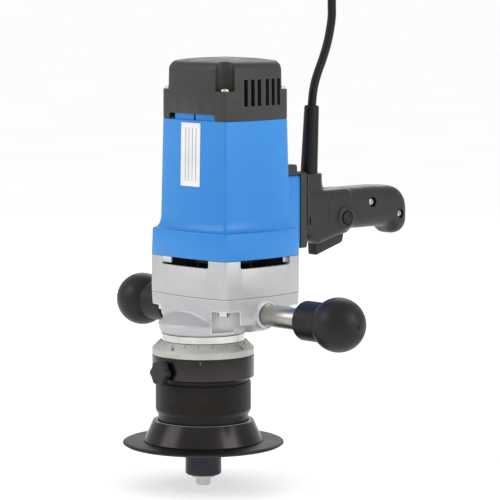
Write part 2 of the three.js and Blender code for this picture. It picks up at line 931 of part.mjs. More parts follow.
function clampRing() {
  const top = clampBottom + clampHeight;
  const profile = [
    [mountedBore, clampBottom],
    [clampRadius - 0.8, clampBottom],
    [clampRadius, clampBottom + 0.8],
    [clampRadius, top],
    [mountedBore, top],
    [mountedBore, clampBottom],
  ];
  const tap = disc(3.3, 40, clampRadius + 10, coarse);
  tap.rotateX(Math.PI / 2);
  tap.translate(0, 0, knobZ);
  return blackSteel('clamp_ring', cut(turned(profile, fine), tap));
}

// A star knob on a radial axis, its stud in the clamp ring's tapped hole.
function lockKnob() {
  const face = clampRadius + 10.5;
  const back = clampRadius + 2.2;
  const points = [];
  const steps = knobLobes * 6;
  for (let i = 0; i < steps; i += 1) {
    const a = (2 * Math.PI * i) / steps;
    const radius = knobRadius - 1.4 + 1.4 * Math.cos(knobLobes * a);
    points.push([radius * Math.cos(a), radius * Math.sin(a)]);
  }
  const head = raised(outline(points), back, face);
  const hub = disc(7, clampRadius + 0.6, back + 1, coarse);
  const stud = disc(3, sleeveRadius + 1, back + 1, coarse);
  const geometry = join(head, hub, stud);
  geometry.rotateX(Math.PI / 2);
  geometry.translate(0, 0, knobZ);
  return blackPlastic('lock_knob', geometry);
}

function knurledRing() {
  const top = knurlBottom + knurlHeight;
  const profile = [
    [mountedBore, knurlBottom - 3.8],
    [mountedBore + 0.8, knurlBottom - 3.8],
    [knurlRadius, knurlBottom],
    [knurlRadius, top - 0.8],
    [knurlRadius - 0.8, top],
    [mountedBore, top],
    [mountedBore, knurlBottom - 3.8],
  ];
  return blackSteel('knurled_ring', turned(profile, fine));
}

function guideCone() {
  const bottom = plateBottom + plateThickness + seam;
  const profile = [
    [plateHoleRadius, bottom],
    [coneBaseRadius, bottom],
    [coneTopRadius, coneTop - 1],
    [coneTopRadius - 1.2, coneTop],
    [mountedBore + 1, coneTop],
    [mountedBore, coneTop - 2],
    [mountedBore, sleeveBottom - seam],
    [plateHoleRadius, sleeveBottom - seam],
    [plateHoleRadius, bottom],
  ];
  return blackSteel('guide_cone', turned(profile, fine));
}

function guidePlate() {
  const top = plateBottom + plateThickness;
  const profile = [
    [plateHoleRadius, plateBottom],
    [plateRadius - 3.6, plateBottom],
    [plateRadius, plateBottom + 2.4],
    [plateRadius - 0.8, plateBottom + 3.2],
    [plateRadius - 2.4, top],
    [plateHoleRadius, top],
    [plateHoleRadius, plateBottom],
  ];
  return blackSteel('guide_plate', turned(profile, fine));
}

// Ball handles

function handleStud(name, side, reach) {
  const shoulder = bossReach + seam;
  const end = shoulder + reach + gripThread;
  const body = turned([
    [0, bossRoot + 2],
    [studThreadRadius, bossRoot + 2],
    [studThreadRadius, shoulder],
    [studRadius, shoulder],
    [studRadius, shoulder + reach + 3],
    [studThreadRadius, shoulder + reach + 3],
    [studThreadRadius, end],
    [0, end],
  ], medium);
  const flatLength = Math.min(12, reach);
  const flats = [-1, 1].map((sign) => {
    const x0 = sign > 0 ? studFlats / 2 : -studFlats / 2 - 5;
    return block(x0, x0 + 5, -20, 20, shoulder + 0.8, shoulder + 0.8 + flatLength);
  });
  return brightSteel(name, onSide(alongX(cut(body, ...flats), motorY, handleZ), side));
}

function ballGrip(name, side, reach) {
  const start = bossReach + seam + reach;
  const ballAt = start + gripLength - gripBallRadius;
  const boreEnd = start + gripBoreDepth;
  const points = [
    [studRadius + seam, start],
    [gripCollarRadius - 2.4, start],
    [gripCollarRadius - 0.7, start + 0.8],
    [gripCollarRadius, start + 2.6],
  ];
  const steps = 8;
  const from = -Math.acos(gripCollarRadius / gripBallRadius);
  for (let i = 0; i <= steps; i += 1) {
    const a = from + ((Math.PI / 2 - from) * i) / steps;
    points.push([i === steps ? 0 : gripBallRadius * Math.cos(a), ballAt + gripBallRadius * Math.sin(a)]);
  }
  points.push([0, boreEnd]);
  points.push([studThreadRadius + seam, boreEnd]);
  points.push([studThreadRadius + seam, start + 4]);
  points.push([studRadius + seam, start + 4]);
  points.push([studRadius + seam, start]);
  return rubber(name, onSide(alongX(turned(points, medium), motorY, handleZ), side));
}

// Switch handle

const flangeStart = earEnd + seam;
const shellStart = flangeStart + flangeThickness + seam;
const turretTop = 305.3;
const turretEnd = 157.3;
const turretHalf = 12.5;
const turretFoot = 290;
const bootY = 148.8;
const switchHalf = 7;

function handleFlange() {
  const top = earTop + seam;
  const half = earHalf + 1;
  const back = flangeStart + flangeThickness;
  const plate = block(-half, half, flangeStart, back, caseTop, top);
  const hood = block(-half, half, 101, back, top, top + 2.2);
  const lug = block(-8, 12, 104, 120, top + 1, 317.7);
  const cableWay = block(-cableHalf, cableHalf, flangeStart - 1, shellStart, cableBottom, cableTop);
  return blackPlastic('handle_flange', cut(join(plate, hood, lug), cableWay));
}

// The handle's side outline, clockwise from the lower front corner.
function handleOutline() {
  const shape = new THREE.Shape();
  shape.moveTo(shellStart, 247);
  shape.lineTo(shellStart, turretTop - 4);
  shape.quadraticCurveTo(shellStart, turretTop, shellStart + 4, turretTop);
  shape.lineTo(turretEnd, turretTop);
  shape.quadraticCurveTo(turretEnd + 3, turretTop, turretEnd + 3.5, turretTop - 4);
  shape.quadraticCurveTo(turretEnd + 4, 290, 176, 289.7);
  shape.quadraticCurveTo(215, 289.6, 252, 288);
  shape.bezierCurveTo(272, 287, gripEnd, 278, gripEnd, 262);
  shape.bezierCurveTo(gripEnd, 244, 279, 236.6, 268, 236.6);
  shape.bezierCurveTo(262, 236.6, 259, 245, 251, 245.3);
  shape.lineTo(210, 245.8);
  shape.quadraticCurveTo(202, 246, 199, 241.5);
  shape.lineTo(184, 241.2);
  shape.lineTo(152, 233.4);
  shape.quadraticCurveTo(144, 231.5, 136, 239);
  return shape;
}

const triggerShape = () => outline([
  [146.4, 240],
  [152.8, 234],
  [153.4, 222.2],
  [154.8, 221.4],
  [190.4, 231.6],
  [192.8, 233.6],
  [194.2, 240],
  [194.2, 247.6],
  [150, 247.6],
  [146.4, 244.4],
]);

const buttonY = 185.4;
const buttonZ = 259;
const handleScrews = [[226.2, 272.7], [268.5, 257.8]];
const handleScrewHead = 4;
const handleScrewSeat = 13;

function handleShells() {
  const whole = spread(handleOutline(), -shellHalf, shellHalf);
  const bezel = alongX(turned([
    [0, 10],
    [11.5, 10],
    [11.5, shellHalf],
    [9.5, shellHalf + 2],
    [0, shellHalf + 2],
  ], coarse), buttonY, buttonZ);
  const body = join(whole, bezel);
  const room = block(-switchHalf - 1, switchHalf + 1, 146, 206, 253, 281);
  const gripRoom = block(-11, 11, 205, 272, 255, 279);
  const triggerRoom = block(-triggerHalf - running, triggerHalf + running, 142.6, 195.5, 215, 254);
  const bootRoom = disc(bootBaseRadius + 0.7, 280, turretTop + 1, coarse);
  bootRoom.translate(0, bootY, 0);
  const wireWay = block(-6, 6, shellStart - 1, 150, 262, 276);
  const buttonHole = alongX(disc(buttonRadius + running, 4, 30, coarse), buttonY, buttonZ);
  const screwHoles = handleScrews.map(([y, z]) => {
    return alongX(disc(handleScrewHead + 2 * seam, handleScrewSeat, shellHalf + 5, coarse), y, z);
  });
  const beside = [-1, 1].map((side) => {
    const x0 = side > 0 ? turretHalf : -shellHalf - 1;
    const width = shellHalf + 1 - turretHalf;
    return block(x0, x0 + width, shellStart + 3.6, turretEnd + 6, turretFoot, turretTop + 1);
  });
  const hollow = cut(body, ...beside, room, gripRoom, triggerRoom, bootRoom, wireWay, buttonHole, ...screwHoles);
  const half = (x0, x1) => {
    const side = block(x0, x1, earEnd, gripEnd + 10, caseTop - 20, turretTop + 10);
    return toGeometry(toSolid(hollow).intersect(toSolid(side)));
  };
  return [
    blackPlastic('handle_shell_right', half(seam / 2, 40)),
    blackPlastic('handle_shell_left', half(-40, -seam / 2)),
  ];
}

function handleScrewNodes() {
  return handleScrews.map(([y, z], i) => {
    const bottom = handleScrewSeat + seam;
    const geometry = alongX(disc(handleScrewHead, bottom, bottom + 2, coarse), y, z);
    return brightSteel(`handle_screw_${i + 1}`, geometry);
  });
}

function trigger() {
  return blackPlastic('trigger', spread(triggerShape(), -triggerHalf, triggerHalf, 1));
}

function lockOnButton() {
  const inner = 12;
  const outer = shellHalf + 3.4;
  const profile = [
    [0, inner],
    [buttonRadius, inner],
    [buttonRadius, outer - 1.2],
    [buttonRadius - 1.2, outer],
    [0, outer],
  ];
  return blackPlastic('lock_on_button', alongX(turned(profile, coarse), buttonY, buttonZ));
}

function switchModule() {
  return node('switch_module', block(-switchHalf, switchHalf, 150, 200, 256.5, 279), 0x2a2a2c, 0.5, 0);
}

// Lead

const bootBottom = turretTop + seam;
const bootTop = bootBottom + bootHeight;
const bootLean = 0.054; // the boot leans backwards by this share of its height

function cordBoot() {
  const seatBottom = 284;
  const bore = leadDiameter / 2 + 2 * seam;
  const mouth = bootTop - 12;
  const profile = [
    [0, seatBottom],
    [bootBaseRadius, seatBottom],
    [bootBaseRadius, bootBottom],
    [bootTopRadius, bootTop - 1],
    [bootTopRadius - 0.8, bootTop],
    [bore, bootTop],
    [bore, mouth],
    [0, mouth],
  ];
  const geometry = turned(profile, coarse);
  const position = geometry.getAttribute('position');
  for (let i = 0; i < position.count; i += 1) {
    const rise = Math.max(0, position.getZ(i) - bootBottom);
    position.setY(i, position.getY(i) + bootY + bootLean * rise);
  }
  return rubber('cord_boot', geometry);
}

// The lead's route from the boot's mouth to the top of its coil, chosen by hand.
const route = [
  [0, 152.3, 368],
  [0, 153.2, 380],
  [0, 156, 396],
  [0, 161, 409],
  [0, 168, 423],
  [0, 174.5, 438],
  [0, 179.2, 454],
  [0, 181.6, 468],
  [1, 180.6, 483],
  [4, 181.5, 511],
  [12, 190, 541],
  [25, 206, 563],
  [43, 224, 577],
  [63, 243, 581],
  [83, 262, 577],
  [102, 280, 563],
  [116, 293, 541],
  [125, 301, 515],
  [129, 305, 485],
  [131, 307, 445],
  [134, 310, 395],
  [138, 313, 340],
  [143, 315, 285],
  [148, 316, 230],
  [153, 316, 185],
  [158, 314, 142],
  [161.5, 309, 106],
  [163, 302, 78],
  [161, 297, 57],
  [154.5, 298, 42],
  [146.5, 306, 33.5],
  [141, 317, 31.2],
];

function powerCord() {
  const sides = 8;
  const section = new THREE.Shape();
  for (let i = 0; i < sides; i += 1) {
    const a = (2 * Math.PI * i) / sides;
    const point = [(leadDiameter / 2) * Math.cos(a), (leadDiameter / 2) * Math.sin(a)];
    if (i === 0) {
      section.moveTo(...point);
    } else {
      section.lineTo(...point);
    }
  }
  const points = route.map((p) => new THREE.Vector3(...p));
  const extrudePath = new THREE.CatmullRomCurve3(points, false, 'centripetal');
  const settings = { steps: 46, bevelEnabled: false, extrudePath };
  const geometry = new THREE.ExtrudeGeometry(section, settings);
  return rubber('power_cord', geometry);
}

function cordCoil() {
  const geometry = ring(coilInner, coilOuter, 0, coilHeight, medium);
  geometry.translate(coilX, coilY, 0);
  return rubber('cord_coil', geometry);
}

// A round two-pin plug that lies beside the coil, its pins towards -Y.
function plug() {
  const axisX = coilX + coilOuter - leadDiameter / 2;
  const start = coilY - 33;
  const relief = 26;
  const body = 34;
  const pinLength = 19;
  const pinSpread = 9.5;
  const profile = [
    [0, 0],
    [plugRadius, 0],
    [plugRadius, body - 10],
    [plugRadius - 6, body],
    [9, body + 1],
    [5.6, body + relief],
    [0, body + relief],
  ];
  const shell = turned(profile, coarse);
  const pins = [-1, 1].map((side) => {
    const pin = disc(2.4, -pinLength, 2, 12);
    pin.translate(0, side * pinSpread, 0);
    return pin;
  });
  const geometry = join(shell, ...pins);
  geometry.rotateX(-Math.PI / 2);
  geometry.rotateY(Math.PI / 2);
  geometry.translate(axisX, start - body - relief, plugRadius + 0.4);
  return rubber('plug', geometry);
}

// Assembly

const machine = new THREE.Group();
machine.add(
  topCover(),
  ...coverScrews(),
  motorHousing(),
  ratingLabel(),
  upperGearCase(),
  lowerGearCase(),
  ...caseScrews(),
  bearingBridge(),
  statorCore(),
  ...fieldCoils(),
  armatureShaftNode(),
  armatureCore(),
  commutator(),
  coolingFan(),
  ...motorBearings(),
  ...carbonBrushes(),
  spindleGear(),
  spindleShaft(),
  ...spindleBearings(),
  neckSleeve(),
  cutterHead(),
  ...cuttingInserts(),
  pilotBearing(),
  pilotRoller(),
  pilotBolt(),
  scaleRing(),
  guideSleeve(),
  clampRing(),
  lockKnob(),
  knurledRing(),
  guideCone(),
  guidePlate(),
  handleStud('handle_stud_right', 1, rightStudReach),
  handleStud('handle_stud_left', -1, leftStudReach),
  ballGrip('ball_grip_right', 1, rightStudReach),
  ballGrip('ball_grip_left', -1, leftStudReach),
  handleFlange(),
  ...handleShells(),
  ...handleScrewNodes(),
  trigger(),
  lockOnButton(),
  switchModule(),
  cordBoot(),
  powerCord(),
  cordCoil(),
  plug(),
);

export default machine;
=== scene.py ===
import json
import math

import bpy
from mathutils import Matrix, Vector


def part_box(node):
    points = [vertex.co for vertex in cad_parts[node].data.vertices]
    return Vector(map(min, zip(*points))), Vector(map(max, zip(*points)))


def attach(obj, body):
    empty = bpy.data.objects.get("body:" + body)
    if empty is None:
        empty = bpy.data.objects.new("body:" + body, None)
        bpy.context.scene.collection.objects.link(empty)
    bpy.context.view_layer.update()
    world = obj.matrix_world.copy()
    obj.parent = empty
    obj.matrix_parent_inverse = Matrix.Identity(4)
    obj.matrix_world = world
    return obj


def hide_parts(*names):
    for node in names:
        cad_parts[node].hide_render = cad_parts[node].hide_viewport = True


# Hand-held edge bevelling machine. Pieces are modelled in millimetres and shrunk to metres when finished.
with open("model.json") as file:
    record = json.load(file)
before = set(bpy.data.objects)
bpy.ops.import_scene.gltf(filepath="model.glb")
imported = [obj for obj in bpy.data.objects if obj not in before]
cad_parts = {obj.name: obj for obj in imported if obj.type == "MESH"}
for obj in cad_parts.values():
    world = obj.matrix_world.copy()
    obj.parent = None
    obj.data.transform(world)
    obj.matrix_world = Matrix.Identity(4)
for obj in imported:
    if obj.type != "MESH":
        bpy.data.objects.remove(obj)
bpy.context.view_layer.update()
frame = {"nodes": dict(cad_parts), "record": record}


def nodeBox(node):
    low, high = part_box(node)
    return low * 1000, high * 1000


seam = 0.3  # gap between neighbouring pieces
coreLow, coreHigh = nodeBox("armature_core")
motorY = (coreLow.y + coreHigh.y) / 2
diagonals = [(1, -1), (1, 1), (-1, 1), (-1, -1)]


# camera
cameraSettings = {
    "turn": 46.425,
    "tilt": 6.214,
    "distance": 2.87408,
    "sideways": 0.046961,
    "height": 0.237745,
    "lens": 206.934,
    "sensor": 36,
}


def makeCamera(settings):
    turn = math.radians(settings["turn"])
    tilt = math.radians(settings["tilt"])
    back = Vector((math.sin(turn) * math.cos(tilt), -math.cos(turn) * math.cos(tilt), math.sin(tilt)))
    right = Vector((math.cos(turn), math.sin(turn), 0))
    target = right * settings["sideways"] + Vector((0, 0, settings["height"]))
    bpy.ops.object.camera_add(location=target + back * settings["distance"])
    camera = bpy.context.object
    camera.rotation_euler = back.to_track_quat("Z", "Y").to_euler()
    camera.data.lens = settings["lens"]
    camera.data.sensor_width = settings["sensor"]
    camera.data.clip_end = 100
    bpy.context.scene.camera = camera


makeCamera(cameraSettings)
print("camera placed")


# materials
def fromHex(code):
    channels = [int(code[i:i + 2], 16) / 255 for i in (0, 2, 4)]
    return [((c + 0.055) / 1.055) ** 2.4 if c > 0.04 else c / 12.92 for c in channels] + [1]


def startMaterial(name, metallic=0.0, **sockets):
    material = bpy.data.materials.new(name)
    material.use_nodes = True
    shader = material.node_tree.nodes["Principled BSDF"]
    shader.inputs["Metallic"].default_value = metallic
    for socket, value in sockets.items():
        shader.inputs[socket.replace("_", " ")].default_value = value
    return material, material.node_tree, shader


def addNode(tree, kind, **values):
    node = tree.nodes.new(kind)
    for key, value in values.items():
        setattr(node, key, value)
    return node


# inputs are sockets to link or plain numbers
def mathNode(tree, operation, *values):
    node = addNode(tree, "ShaderNodeMath", operation=operation)
    for i, value in enumerate(values):
        if isinstance(value, (int, float)):
            node.inputs[i].default_value = value
        else:
            tree.links.new(value, node.inputs[i])
    return node.outputs[0]


def blend(tree, amount, colour, other):
    mix = addNode(tree, "ShaderNodeMix", data_type="RGBA")
    tree.links.new(amount, mix.inputs["Factor"])
    tree.links.new(colour, mix.inputs["A"])
    mix.inputs["B"].default_value = other
    return mix.outputs["Result"]


def objectAxes(tree):
    place = addNode(tree, "ShaderNodeTexCoord")
    split = addNode(tree, "ShaderNodeSeparateXYZ")
    tree.links.new(place.outputs["Object"], split.inputs["Vector"])
    return split.outputs


def objectPoint(tree, scale=(1, 1, 1)):
    place = addNode(tree, "ShaderNodeTexCoord")
    mapping = addNode(tree, "ShaderNodeMapping")
    mapping.inputs["Scale"].default_value = scale
    tree.links.new(place.outputs["Object"], mapping.inputs["Vector"])
    return mapping.outputs["Vector"]


def noise(tree, point, scale, detail=4.0, roughness=0.55):
    node = addNode(tree, "ShaderNodeTexNoise")
    node.inputs["Scale"].default_value = scale
    node.inputs["Detail"].default_value = detail
    node.inputs["Roughness"].default_value = roughness
    tree.links.new(point, node.inputs["Vector"])
    return node.outputs["Fac"]


def ramp(tree, value, low, high, lowAt=0.3, highAt=0.7):
    node = addNode(tree, "ShaderNodeValToRGB")
    node.color_ramp.elements[0].position = lowAt
    node.color_ramp.elements[0].color = low
    node.color_ramp.elements[1].position = highAt
    node.color_ramp.elements[1].color = high
    tree.links.new(value, node.inputs["Fac"])
    return node.outputs["Color"]


def spanned(tree, value, low, high, fromLow=0.3, fromHigh=0.7):
    node = addNode(tree, "ShaderNodeMapRange")
    node.inputs["From Min"].default_value = fromLow
    node.inputs["From Max"].default_value = fromHigh
    node.inputs["To Min"].default_value = low
    node.inputs["To Max"].default_value = high
    tree.links.new(value, node.inputs["Value"])
    return node.outputs["Result"]


def bumped(tree, height, strength, distance, base=None):
    node = addNode(tree, "ShaderNodeBump")
    node.inputs["Strength"].default_value = strength
    node.inputs["Distance"].default_value = distance
    tree.links.new(height, node.inputs["Height"])
    if base is not None:
        tree.links.new(base, node.inputs["Normal"])
    return node.outputs["Normal"]


def wornEdges(tree, colour, edgeColour, low=0.52, high=0.62, amount=0.5):
    geometry = addNode(tree, "ShaderNodeNewGeometry")
    edge = spanned(tree, geometry.outputs["Pointiness"], 0, amount, low, high)
    return blend(tree, edge, colour, edgeColour)


# moulded plastic: slow colour drift, a fine spark-eroded grain and lighter rubbed edges
def mouldedPlastic(name, tone, shade, edge, roughness, grain, grainDepth, edgeAmount=0.4, **sockets):
    material, tree, shader = startMaterial(name, **sockets)
    point = objectPoint(tree)
    drift = noise(tree, point, 14, 3)
    colour = ramp(tree, drift, fromHex(shade), fromHex(tone))
    colour = wornEdges(tree, colour, fromHex(edge), amount=edgeAmount)
    tree.links.new(colour, shader.inputs["Base Color"])
    smudge = noise(tree, point, 60, 5)
    tree.links.new(spanned(tree, smudge, roughness - 0.05, roughness + 0.06), shader.inputs["Roughness"])
    fine = noise(tree, point, grain, 2, 0.4)
    tree.links.new(bumped(tree, fine, 0.35, grainDepth), shader.inputs["Normal"])
    return material


# machined metal: fine tool marks run round the axis, so they vary only along it
def machinedMetal(name, tone, shade, roughness, metallic, axis, marks=2600, depth=0.00004, edge=None,
                  **sockets):
    material, tree, shader = startMaterial(name, metallic, **sockets)
    point = objectPoint(tree)
    cloud = noise(tree, point, 35, 4)
    colour = ramp(tree, cloud, fromHex(shade), fromHex(tone))
    if edge:
        colour = wornEdges(tree, colour, fromHex(edge), amount=0.55)
    tree.links.new(colour, shader.inputs["Base Color"])
    streak = [0.02, 0.02, 0.02]
    streak["XYZ".index(axis)] = 1
    tool = noise(tree, objectPoint(tree, streak), marks, 3)
    spread = 0.16
    rough = mathNode(tree, "MULTIPLY_ADD", tool, spread, roughness - spread / 2)
    tree.links.new(rough, shader.inputs["Roughness"])
    tree.links.new(bumped(tree, tool, 0.4, depth), shader.inputs["Normal"])
    return material


# bead-blasted casting
def castMetal(name, tone, shade):
    material, tree, shader = startMaterial(name, 0.55)
    point = objectPoint(tree)
    colour = ramp(tree, noise(tree, point, 22, 5), fromHex(shade), fromHex(tone))
    colour = wornEdges(tree, colour, fromHex("eceded"), amount=0.5)
    tree.links.new(colour, shader.inputs["Base Color"])
    tree.links.new(spanned(tree, noise(tree, point, 90, 4), 0.4, 0.52), shader.inputs["Roughness"])
    pores = addNode(tree, "ShaderNodeTexVoronoi")
    pores.inputs["Scale"].default_value = 1500
    tree.links.new(point, pores.inputs["Vector"])
    skin = bumped(tree, noise(tree, point, 420, 4), 0.15, 0.0003)
    tree.links.new(bumped(tree, pores.outputs["Distance"], 0.25, 0.0002, skin), shader.inputs["Normal"])
    return material


# crossed helical grooves round Z, coloured by their depth: painted shade down in the grooves and a painted
# highlight on the crests
def knurledMetal(name, tone, shade, radius, pitch):
    material, tree, shader = startMaterial(name, 0.75)
    axes = objectAxes(tree)
    around = mathNode(tree, "ARCTAN2", axes["Y"], axes["X"])
    teeth = round(2 * math.pi * radius / pitch)
    turn = mathNode(tree, "MULTIPLY", around, teeth)
    grooves = []
    for slant in (1, -1):
        climb = mathNode(tree, "MULTIPLY_ADD", axes["Z"], slant * teeth / radius, turn)
        grooves.append(mathNode(tree, "COSINE", climb))
    diamond = mathNode(tree, "MINIMUM", *grooves)
    height = spanned(tree, diamond, 0, 1, -1, 1)
    # colour follows groove depth: near-black groove tone is painted shade, light crest tone is painted
    # highlight
    colour = ramp(tree, height, fromHex(shade), fromHex(tone), 0.15, 0.8)
    tree.links.new(colour, shader.inputs["Base Color"])
    shader.inputs["Roughness"].default_value = 0.42
    tree.links.new(bumped(tree, diamond, 1, 0.0008), shader.inputs["Normal"])
    return material


# printed label: white film with blank ruled rows, no lettering
labelPrint = {"spacing": 0.0025, "rule": 0.0004, "fade": 0.0007, "endMargin": 5, "sideMargin": 4}


def printedLabel(name, low, high, s):
    material, tree, shader = startMaterial(name, Coat_Weight=0.3, Coat_Roughness=0.2)
    point = objectPoint(tree)
    base = ramp(tree, noise(tree, point, 40, 3), fromHex("dfe1e4"), fromHex("f1f2f3"))
    axes = objectAxes(tree)
    columns = mathNode(tree, "PINGPONG", axes["X"], s["spacing"])
    rule = spanned(tree, columns, 1, 0, s["rule"], s["fade"])
    edges = (("Z", low.z, high.z, s["endMargin"]), ("X", low.x, high.x, s["sideMargin"]))
    for axis, start, end, margin in edges:
        after = mathNode(tree, "GREATER_THAN", axes[axis], (start + margin) / 1000)
        before = mathNode(tree, "LESS_THAN", axes[axis], (end - margin) / 1000)
        rule = mathNode(tree, "MULTIPLY", mathNode(tree, "MULTIPLY", rule, after), before)
    tree.links.new(blend(tree, rule, base, fromHex("9a9ea3")), shader.inputs["Base Color"])
    tree.links.new(spanned(tree, noise(tree, point, 150, 3), 0.35, 0.45), shader.inputs["Roughness"])
    return material


finishes = {
    "cover": mouldedPlastic("coverPlastic", "2c2d29", "272824", "484942", 0.5, 1400, 0.00018),
    "blue": mouldedPlastic("bluePlastic", "1f86d8", "1a80d0", "5aa6e2", 0.36, 900, 0.00006, 0.35),
    "cast": castMetal("castAlloy", "c3c4c6", "b5b7b9"),
    "handle": mouldedPlastic("handlePlastic", "1c1f1e", "171a19", "3a3c39", 0.36, 1300, 0.0001),
    "grip": mouldedPlastic("gripPlastic", "141211", "100e0d", "25221f", 0.42, 1000, 0.00008, 0.2,
                            Specular_IOR_Level=0.35),
    "black": machinedMetal("blackenedSteel", "1c1a1a", "141313", 0.28, 0.6, "Z", edge="6a6866"),
    "plate": machinedMetal("satinBlack", "141312", "0e0d0d", 0.5, 0.2, "Z", edge="5c5a57",
                           Specular_IOR_Level=0.3),
    "gloss": machinedMetal("polishedBlack", "383535", "2f2c2c", 0.24, 0.92, "Z", edge="6a6664"),
    "sleeve": machinedMetal("blackenedSleeve", "1f1d1c", "171515", 0.34, 0.6, "Z"),
    "bright": machinedMetal("turnedSteel", "d8d6d1", "bdbbb7", 0.14, 1, "Z", 3200),
    "stud": machinedMetal("studSteel", "c2beb8", "a39f9a", 0.32, 1, "X", 2200),
    "scale": machinedMetal("scaleMetal", "c4c5be", "b4b5ae", 0.42, 0.7, "Z", 4200),
    "roller": machinedMetal("rollerSteel", "3a3a42", "2c2c33", 0.36, 0.8, "Z", 1800, edge="8b8b90"),
    "cutter": machinedMetal("cutterSteel", "5d5f63", "494b4f", 0.32, 0.95, "Z", edge="a5a7aa"),
    "insert": machinedMetal("insertCoating", "c79a3f", "a87c2c", 0.3, 0.95, "X"),
    "copper": machinedMetal("copperWire", "b0682f", "8f4f22", 0.36, 0.9, "Z", 1500),
    "lamination": machinedMetal("laminatedSteel", "7b7c7e", "5f6062", 0.45, 0.9, "Z", 2000, 0.0002),
    "carbon": mouldedPlastic("brushCarbon", "303032", "232325", "4a4a4c", 0.6, 1500, 0.0002),
    "rubber": mouldedPlastic("leadRubber", "0b0c0f", "08090b", "17181b", 0.46, 700, 0.00012, 0.2,
                             Specular_IOR_Level=0.3),
    "ink": mouldedPlastic("scaleInk", "1a1a1a", "121212", "222222", 0.6, 1200, 0.00005),
    "mark": mouldedPlastic("indexPaint", "8b8b88", "7e7e7b", "a0a09c", 0.5, 1200, 0.00005),
    "dark": mouldedPlastic("blackPlastic", "191a1b", "111213", "303133", 0.5, 1200, 0.0001),
    "brass": machinedMetal("plugPins", "c8a45a", "b08c42", 0.25, 1, "Y"),
}
knurlRadius = nodeBox("knurled_ring")[1].x / 1000
# knurl tones: the light crest tone is a painted highlight, the near-black groove tone painted shade
finishes["knurl"] = knurledMetal("knurledSteel", "6a6460", "14120f", knurlRadius, 0.0019)
finishes["label"] = printedLabel("labelFilm", *nodeBox("rating_label"), labelPrint)
print("materials made")


# modelling helpers
def alone(obj):
    bpy.ops.object.select_all(action="DESELECT")
    obj.select_set(True)
    bpy.context.view_layer.objects.active = obj


def settle(obj):
    alone(obj)
    bpy.ops.object.transform_apply(location=True, rotation=True, scale=True)
    return obj


def arcPoints(centre, radius, start, end, count):
    angles = [math.radians(start + (end - start) * i / count) for i in range(count + 1)]
    return [(centre[0] + radius * math.cos(a), centre[1] + radius * math.sin(a)) for a in angles]


# corners given as (a, b, radius) become arcs
def softened(points):
    result = []
    for i, point in enumerate(points):
        here = Vector(point[:2])
        if len(point) < 3:
            result.append(tuple(here))
            continue
        before = (Vector(points[i - 1][:2]) - here).normalized()
        after = (Vector(points[(i + 1) % len(points)][:2]) - here).normalized()
        half = before.angle(after) / 2
        centre = here + (before + after).normalized() * (point[2] / math.sin(half))
        start = here + before * (point[2] / math.tan(half)) - centre
        end = here + after * (point[2] / math.tan(half)) - centre
        first = math.degrees(math.atan2(start.y, start.x))
        sweep = (math.degrees(math.atan2(end.y, end.x)) - first + 180) % 360 - 180
        result += arcPoints(centre, point[2], first, first + sweep, max(2, round(abs(sweep) / 15)))
    return result


# a chain of edges, extruded point by point; it is left in edit mode
def drawLine(name, points):
    bpy.ops.object.select_all(action="DESELECT")
    bpy.ops.mesh.primitive_plane_add(size=1, location=points[0])
    obj = settle(bpy.context.object)
    obj.name = name
    bpy.ops.object.mode_set(mode="EDIT")
    bpy.ops.mesh.select_mode(type="VERT")
    bpy.ops.mesh.select_all(action="SELECT")
    bpy.ops.mesh.merge(type="CENTER")
    here = Vector(points[0])
    for point in points[1:]:
        bpy.ops.mesh.extrude_region_move(TRANSFORM_OT_translate={"value": Vector(point) - here})
        here = Vector(point)
    return obj


# a filled outline, left in edit mode
def drawFace(name, points):
    obj = drawLine(name, points + points[:1])
    bpy.ops.mesh.select_all(action="SELECT")
    bpy.ops.mesh.remove_doubles(threshold=0.002)
    bpy.ops.mesh.edge_face_add()
    return obj


def closeShell():
    bpy.ops.mesh.select_all(action="SELECT")
    bpy.ops.mesh.remove_doubles(threshold=0.002)
    bpy.ops.mesh.normals_make_consistent(inside=False)
    bpy.ops.object.mode_set(mode="OBJECT")


# a profile of (radius, z) points spun about Z
def turned(name, profile, steps=96):
    obj = drawLine(name, [(r, 0, z) for r, z in softened(profile)])
    bpy.ops.mesh.select_all(action="SELECT")
    bpy.ops.mesh.spin(steps=steps, angle=2 * math.pi, center=(0, 0, 0), axis=(0, 0, 1))
    closeShell()
    return obj


# a closed outline filled and drawn out from low to high along an axis
def extruded(name, outline, axis, low, high):
    spots = {"X": lambda a, b: (low, a, b), "Y": lambda a, b: (a, low, b), "Z": lambda a, b: (a, b, low)}
    obj = drawFace(name, [spots[axis](a, b) for a, b in softened(outline)])
    move = [0, 0, 0]
    move["XYZ".index(axis)] = high - low
    bpy.ops.mesh.extrude_region_move(TRANSFORM_OT_translate={"value": move})
    closeShell()
    return obj


def block(name, low, high):
    bpy.ops.object.select_all(action="DESELECT")
    centre = [(a + b) / 2 for a, b in zip(low, high)]
    bpy.ops.mesh.primitive_cube_add(size=1, location=centre)
    obj = bpy.context.object
    obj.name = name
    obj.scale = [b - a for a, b in zip(low, high)]
    return settle(obj)


def rod(name, radius, low, high, steps=48):
    bpy.ops.object.select_all(action="DESELECT")
    spot = (0, 0, (low + high) / 2)
    bpy.ops.mesh.primitive_cylinder_add(vertices=steps, radius=radius, depth=high - low, location=spot)
    obj = bpy.context.object
    obj.name = name
    return settle(obj)


def turnedTo(obj, turn=(0, 0, 0), spot=(0, 0, 0)):
    obj.rotation_euler = [math.radians(t) for t in turn]
    obj.location = spot
    return settle(obj)


def applied(obj, kind, **values):
    alone(obj)
    modifier = obj.modifiers.new(kind.lower(), kind)
    for key, value in values.items():
        setattr(modifier, key, value)
    bpy.ops.object.modifier_apply(modifier=modifier.name)
    return obj


def combined(obj, operation, others):
    for other in others:
        applied(obj, "BOOLEAN", operation=operation, object=other, solver="EXACT")
        bpy.data.objects.remove(other)
    return obj


def carved(obj, *others):
    return combined(obj, "DIFFERENCE", others)


def joined(obj, *others):
    return combined(obj, "UNION", others)


